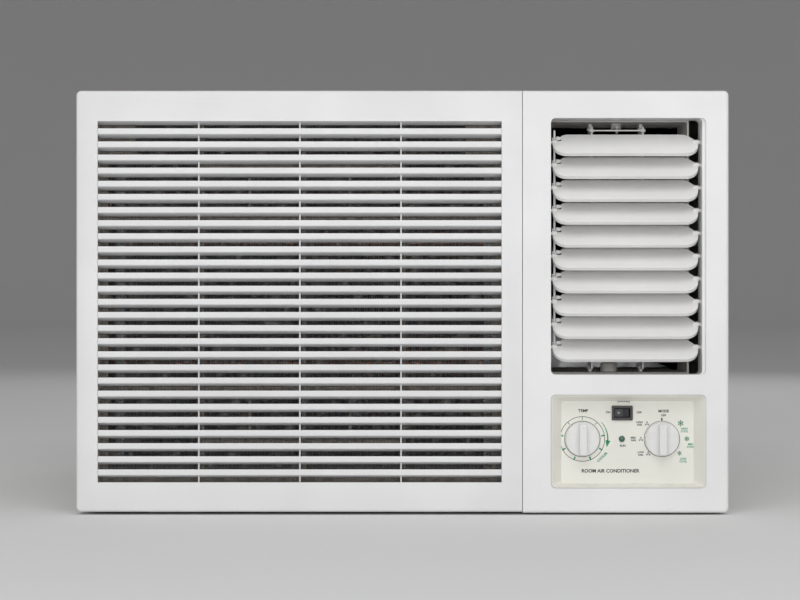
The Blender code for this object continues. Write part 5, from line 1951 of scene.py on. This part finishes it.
@dataclass
class Circuit:
    """The compressor, accumulator, drier and the tubes between them."""

    compressor: Flat = (215.0, 20.0)
    suction: tuple[Point, ...] = (
        (86.2, -252, 130), (122, -252, 130), (122, -252, 38), (122, -112, 38),
        (122, -112, 262), (118, 70, 262), (118, 70, 230.0),
    )
    discharge: tuple[Point, ...] = (
        (225, 20, 287.6), (225, 20, 330), (303, 20, 330), (303, 296, 330), (292.6, 296, 330),
    )
    liquid: tuple[Point, ...] = (
        (298, 240, 61.0), (298, 240, 20), (298, -106, 20), (108, -106, 20), (108, -106, 38),
        (108, -235.2, 38), (108, -235.2, 96), (108, -250, 96), (86.2, -250, 96),
    )

    def shell(self) -> Piece:
        """The welded compressor shell with its seam and feet."""
        x, y = self.compressor
        profile = [
            (12.0, 30.0), (14.0, 42.0), (19.0, 51.0), (27.0, 58.0), (36.0, 61.2), (44.0, 61.8),
            (172.0, 61.8), (172.6, 62.6), (174.0, 63.0), (175.4, 62.6), (176.0, 60.6), (262.0, 60.0),
            (270.0, 57.6), (278.0, 51.0), (284.0, 40.0), (287.2, 26.0), (288.0, 12.0),
        ]
        shell = Piece.turned("compressor_can", Axis.Z, (x, y, 0), profile, 72)
        for turn in (90, 210, 330):
            foot_x = x + 60 * math.cos(math.radians(turn))
            foot_y = y + 60 * math.sin(math.radians(turn))
            low, high = (foot_x - 21.5, foot_y - 21.5, 14.0), (foot_x + 21.5, foot_y + 21.5, 17.3)
            foot = rounded_block("foot", low, high, 9.0, Axis.Z)
            shell.gather(foot.soften(0.8, 3, 30.0))
        return shell

    def build(self) -> None:
        """Builds every piece of the circuit."""
        self.shell().done(ENAMEL, Body.CHASSIS, "compressor_shell")
        for place in ("left", "right", "rear"):
            low, high = box_of(f"compressor_grommet_{place}")
            middle = (low + high) / 2
            rise = [
                (low.z, 8.6), (low.z + 0.8, 11.0), (low.z + 4.4, 10.8), (low.z + 5.0, 9.0), (low.z + 6.4, 9.0),
                (high.z - 0.6, 10.0), (high.z, 9.0),
            ]
            rubber = Piece.turned(f"foot_rubber_{place}", Axis.Z, middle, rise)
            rubber.done(RUBBER, Body.CHASSIS, f"compressor_grommet_{place}")
            head = [(17.6, 9.0), (18.8, 9.0), (18.9, 6.2), (23.4, 6.2), (24.2, 5.4)]
            bolt = Piece.turned(f"foot_bolt_{place}", Axis.Z, middle, head, 6)
            bolt.soften(0.3).done(STEEL, Body.CHASSIS)
        refined("compressor_terminal_cover", "terminal_cover", BLACK, Body.CHASSIS, 2.4, 4)
        for node, name, sides, rise in (
            ("accumulator", "accumulator_can", 48, [(0, 6.4), (1, 8.5), (4, 15.0), (10, 21.0), (18, 24.0)]),
            ("filter_drier", "drier_can", 40, [(0, 3.4), (3, 4.2), (8, 9.2), (12, 10.0)]),
        ):
            low, high = box_of(node)
            can = Piece.turned(name, Axis.Z, (low + high) / 2, both_ends(low.z, high.z, rise), sides)
            can.done(COPPER, Body.CHASSIS, node)
        for node, route, bend, radius in (
            ("suction_pipe", self.suction, 26.0, 5.0),
            ("discharge_pipe", self.discharge, 14.0, 4.0),
            ("liquid_line", self.liquid, 10.0, 2.0),
        ):
            Piece.pipe(f"{node}_drawn", brazed_route(route, bend), radius).done(COPPER, Body.CHASSIS, node)


# ------------------------------------------------------------------ air movers


@dataclass
class AirMover:
    """The motor with the blower wheel on its front end and the propeller on its back end."""

    x: float = -80.0
    z: float = 215.0
    blades: int = 44
    blade_radii: Flat = (84.0, 102.0)
    orifice: float = 180.0

    def around(self, piece: Piece, count: int) -> Piece:
        """Repeats a piece about the shaft.

        Args:
            piece: The first.
            count: How many there are in all.

        Returns:
            The piece.
        """
        centre = (self.x * MM, 0, self.z * MM)
        turn = 2 * math.pi * (count - 1) / count
        return piece.edit(
            Part.FACES,
            everything,
            lambda: bpy.ops.mesh.spin(steps=count - 1, dupli=True, angle=turn, center=centre, axis=(0, 1, 0)),
        )

    def wheel(self) -> Piece:
        """The blower wheel: curved blades between a back plate and a front rim."""
        low, high = box_of("blower_wheel")
        x, z = self.x, self.z
        inner, outer = self.blade_radii
        blade_low = (x + inner, low.y + 2, z - 0.5)
        blade = Piece.block("blower_blades", blade_low, (x + outer, high.y - 1.5, z + 0.5))
        for at in (inner + 6, inner + 12):
            blade.split(Axis.X, x + at)
        for at, rise in ((inner + 6, -1.9), (inner + 12, -1.4), (outer, 4.6)):
            lift = shift(Vector((0, 0, rise)) * MM)
            blade.edit(Part.CORNERS, lambda place, _facing: abs(place.x - x - at) < NEAR, lift)
        self.around(blade, self.blades)
        profile = [
            (high.y - 17, 8.0), (high.y - 17, 15.4), (high.y - 16, 16.0), (high.y - 6, 16.6), (high.y - 4.6, 19.0),
            (high.y - 3.2, 101.0), (high.y - 3.0, 103.4), (high.y - 1.6, 104.0), (high.y, 103.0),
            (high.y - 1.4, 60.0), (high.y - 1.4, 8.0),
        ]
        plate = Piece.turned("plate", Axis.Y, (x, 0, z), profile, 72, ring=True)
        rim = [
            (low.y, 99.6), (low.y, 103.2), (low.y + 1.0, 104.0), (low.y + 4.6, 104.0), (low.y + 5.0, 103.0),
            (low.y + 4.4, 99.6),
        ]
        return blade.gather(plate, Piece.turned("rim", Axis.Y, (x, 0, z), rim, 72, ring=True))

    def propeller(self) -> Piece:
        """The propeller: broad twisted blades in a slinger ring."""
        low, high = box_of("propeller_fan")
        x, z = self.x, self.z
        blade = Piece.block("propeller_blades", (x + 20, 213.0, z - 12), (x + 168, 215.4, z + 12))
        for at in (45, 70, 95, 120, 145):
            blade.split(Axis.X, x + at)
        blade.split(Axis.Z, z)
        for at, half, pitch in (
            (20, 12.0, 42.0), (45, 21.0, 37.0), (70, 30.0, 33.0), (95, 36.0, 29.0), (120, 41.0, 25.0),
            (145, 44.0, 21.0), (168, 44.0, 18.0),
        ):
            centre = Vector((x + at, 214.2, z)) * MM
            lean = -math.radians(pitch) * 0.62
            blade.edit(
                Part.CORNERS,
                lambda place, _facing: abs(place.x - x - at) < NEAR,
                squeeze((1.0, 1.0, half / 12.0), centre),
                lambda: bpy.ops.transform.rotate(value=lean, orient_axis="X", center_override=centre),
            )
        camber = shift(Vector((0, -3.4, 0)) * MM)
        blade.edit(Part.CORNERS, lambda place, _facing: abs(place.z - z) < NEAR, camber)
        blade.modify("SUBSURF", levels=1, render_levels=1)
        self.around(blade, 4)
        blade.turn(Axis.Y, -20.0, (x, 0, z))
        hub = [
            (low.y, 7.0), (low.y, 20.0), (low.y + 1.4, 23.0), (low.y + 4.0, 25.4), (high.y - 3, 26.0),
            (high.y - 0.8, 25.0), (high.y, 23.4), (high.y, 17.0), (high.y - 4, 15.6), (high.y - 4, 7.0),
        ]
        ring = [
            (high.y - 18, 168.6), (high.y - 18, 173.0), (high.y - 17, 174.0), (high.y - 1, 174.0), (high.y, 173.0),
            (high.y - 0.6, 171.0), (high.y - 3, 169.6),
        ]
        return blade.gather(
            Piece.turned("hub", Axis.Y, (x, 0, z), hub, 48, ring=True),
            Piece.turned("ring", Axis.Y, (x, 0, z), ring, 96, ring=True),
        )

    def motor(self) -> Piece:
        """The motor: a round shell with end bells, vent slots and tie bolts."""
        low, high = box_of("fan_motor")
        x, z = self.x, self.z
        bell = [
            (0, 7.2), (0, 18.0), (1.5, 20.0), (7.0, 21.0), (8.6, 24.0), (9.4, 44.0), (10.6, 56.0), (13.0, 61.4),
            (16.0, 63.0), (20.0, 63.2), (20.4, 64.0),
        ]
        profile = both_ends(low.y, high.y, bell)
        motor = Piece.turned("motor_shell", Axis.Y, (x, 0, z), profile, 72, ring=True)
        slot = rounded_block("slot", (x + 30, low.y - 3, z - 3), (x + 48, low.y + 22, z + 3), 2.8, Axis.Y)
        far = slot.copy("far", (0, high.y - low.y - 19, 0))
        motor.cut(self.around(slot, 10), self.around(far, 10))
        rings = [(low.y + 7.4, 3.8), (low.y + 10.6, 3.8), (low.y + 13, 3.8)]
        bolts = Piece.turned("bolt", Axis.Y, (x + 56.5, 0, z), rings, 6)
        return motor.gather(self.around(bolts, 4).turn(Axis.Y, 45.0, (x, 0, z)))

    def build(self) -> None:
        """Builds the rotor, the motor and the air path's walls."""
        self.wheel().done(BLACK, Body.ROTOR, "blower_wheel", angle=40.0)
        self.propeller().done(BLACK, Body.ROTOR, "propeller_fan", angle=50.0, weigh=False)
        low, high = box_of("motor_shaft")
        x, z = self.x, self.z
        steps = both_ends(low.y, high.y, [(0, 4.8), (1.0, 5.9)])
        Piece.turned("rotor_shaft", Axis.Y, (x, 0, z), steps).done(STEEL, Body.ROTOR, "motor_shaft")
        self.motor().done(ENAMEL, Body.CHASSIS, "fan_motor")
        refined("motor_bracket", "motor_cradle", ZINC, Body.CHASSIS, 0.4)
        refined("blower_scroll", "foam_scroll", FOAM, Body.CHASSIS, 2.2, 3, 50.0)
        refined("evaporator_drain_pan", "foam_drip_tray", FOAM, Body.CHASSIS, 0.5)
        refined("bulkhead", "dividing_sheet", ZINC, Body.CHASSIS, 0.3)
        low, high = box_of("fan_shroud")
        sheet = Piece.block("shroud_sheet", low, high)
        hole = [(low.y - 5, self.orifice + 3.0), (high.y + 5, self.orifice + 3.0)]
        sheet.cut(Piece.turned("orifice", Axis.Y, (x, 0, z), hole, 96))
        lip = [
            (high.y, 184.5), (high.y, 183.0), (low.y - 2.0, 181.2), (low.y - 9.0, 180.2), (low.y - 10.0, 181.2),
            (low.y - 9.0, 182.0), (low.y - 2.0, 183.0), (low.y, 184.5),
        ]
        sheet.gather(Piece.turned("lip", Axis.Y, (x, 0, z), lip, 96, ring=True))
        sheet.done(ZINC, Body.CHASSIS, "fan_shroud")


@dataclass
class Electrics:
    """The control box and the run capacitor."""

    def build(self) -> None:
        """Builds the box and the capacitor."""
        refined("control_box", "control_housing", ZINC, Body.CHASSIS, 0.4)
        low, high = box_of("run_capacitor")
        middle = (low + high) / 2
        rise = [
            (low.x, 17.4), (low.x + 0.6, 19.4), (low.x + 2.4, 20.0), (high.x - 6.5, 20.0), (high.x - 5.6, 19.2),
            (high.x - 4.6, 20.0), (high.x - 1.6, 20.0), (high.x - 1.0, 18.8), (high.x - 1.6, 17.6),
            (high.x - 2.6, 17.0),
        ]
        can = Piece.turned("capacitor_can", Axis.X, (0, -273.0, middle.z), rise, 48)
        can.done(STEEL, Body.CHASSIS, "run_capacitor")


# ------------------------------------------------------------------ everything


def dress_rest(shown: dict[str, Finish]) -> None:
    """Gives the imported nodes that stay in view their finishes.

    Args:
        shown: The finish of each node.
    """
    for node, finish in shown.items():
        if not frame["nodes"][node].hide_render:
            keep(node, finish)


def finish_by_slot() -> dict[str, Finish]:
    """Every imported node's finish, from the record's slots."""
    finishes = {
        finish.slot: finish
        for finish in (
            WHITE, LOUVER_WHITE, PANEL_CREAM, KNOB_WHITE, BLACK, LENS, FILTER_BEIGE, FILTER_NET, DUCT_GREY, FOAM,
            SLEEVE_PAINT, ZINC, FIN_STOCK, COPPER, ENAMEL, RUBBER,
        )
    }
    return {row["node"]: finishes[row["material_slot"]] for row in frame["record"]["subparts"]}


def main() -> None:
    """Builds the studio and every sub-assembly, in order."""
    logging.basicConfig(level=logging.INFO, format="%(message)s")
    assemblies = (
        Studio(), IntakeGrille(), AirFilter(), FrontFrame(), LouverSet(), AirSwing(), ControlPanel(), Cabinet(),
        Coil("evaporator_fins", "evaporator_left_bends", "evaporator_right_bends", 1.8),
        Coil("condenser_fins", "condenser_left_bends", "condenser_right_bends", 2.0),
        Circuit(), AirMover(), Electrics(),
    )
    for assembly in assemblies:
        LOG.info("building %s", type(assembly).__name__)
        assembly.build()
    dress_rest(finish_by_slot())


if __name__ == "__main__":
    main()
